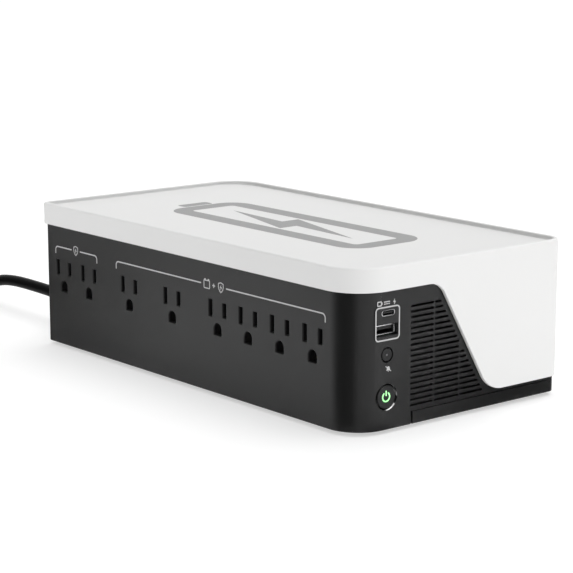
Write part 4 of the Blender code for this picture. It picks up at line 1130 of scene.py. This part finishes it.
def glow(material, strength):
    """Makes a material give a little white light."""
    shader = material.node_tree.nodes["Principled BSDF"]
    assign(shader, {"Emission Color": (1, 1, 1, 1), "Emission Strength": strength})


def reflected_wall():
    """A bright wall behind the object that only reflections see, for the tray to mirror."""
    x, y = WALL_TOWARDS
    foot, half = Vector((x, y, 0)) * WALL_DISTANCE, Vector((y, -x, 0)) * WALL_HALF_WIDTH
    low, high = Vector((0, 0, WALL_LOW_Z)), Vector((0, 0, WALL_HIGH_Z))
    loop = [foot - half + low, foot + half + low, foot + half + high, foot - half + high]
    glow(reflection_flag("back_wall", loop, 1).data.materials[0], WALL_GLOW)


def flag_strips(name, start, step, along, beyond, count, density):
    """Overlapping floor cards whose edges step away from the object, so that together they fade in."""
    for number in range(count):
        near = Vector(start) + Vector(step) * number
        loop = [near, near + Vector(along), near + Vector(along) + Vector(beyond), near + Vector(beyond)]
        flag = [(x, y, 0.3 + FLAG_STEP_Z * number) for x, y in loop]
        reflection_flag(f"{name}_{number + 1}", flag, density)


def add_flags():
    """Flags for the corner beside the panel, both dark walls, the foot and the front's details."""
    for number, (start, end, density) in enumerate(CORNER_FLAGS, 1):
        near, far = arc(FLAG_CORNER, FLAG_NEAR, start, end, 12), arc(FLAG_CORNER, FLAG_FAR, end, start, 12)
        reflection_flag(f"flag_floor_{number}", [(x, y, FLAG_Z) for x, y in near + far], density)
        low, high = [[(x, y, z) for x, y in far[::-1]] for z in (FLAG_Z, FLAG_FAR)]
        reflection_flag(f"flag_upright_{number}", low + high[::-1], density)
    for strip in STRIP_FLAGS:
        flag_strips(*strip)
    for number, reach in enumerate(FOOT_FLAGS):
        radii, z = (reach + 20,) * 4, 0.45 + FLAG_STEP_Z * number
        edge = plan_loop(HALF_WIDTH + reach, HALF_LENGTH + reach, radii, z, 6)
        reflection_flag(f"flag_foot_{number + 1}", edge, FOOT_FLAG_DENSITY)
    for card in CARD_FLAGS:
        reflection_flag(*card)


def add_stage():
    """A white floor, the lights, and what only reflections see."""
    floor = box("floor", (-9000, -9000, -40), (9000, 9000, 0))
    white = surface("floor_white", FLOOR_WHITE, 0.8, 0.005, 2, 60, 0.0, specular=0)
    glow(white, FLOOR_GLOW)
    floor.data.materials.append(white)
    world = bpy.data.worlds.new("studio")
    world.use_nodes = True
    bpy.context.scene.world = world
    assign(world.node_tree.nodes["Background"], {"Color": (1, 1, 1, 1), "Strength": WORLD_GLOW})
    for name, place, watts in STRIP_LIGHTS:
        strip_light(name, place, watts)
    for name, towards, strength, width in SOFT_LIGHTS:
        add_light(name, "SUN", strength, towards).data.angle = math.radians(width)
    add_flags()
    reflected_wall()
    bpy.context.scene.view_settings.view_transform = "Standard"


case_shell()
cover_shell()
battery_door()
feet()
case_screws()
power_button()
mute_button()
usb_ports()
side_prints()
front_prints()
tray_mark()
dress_nodes()
add_stage()
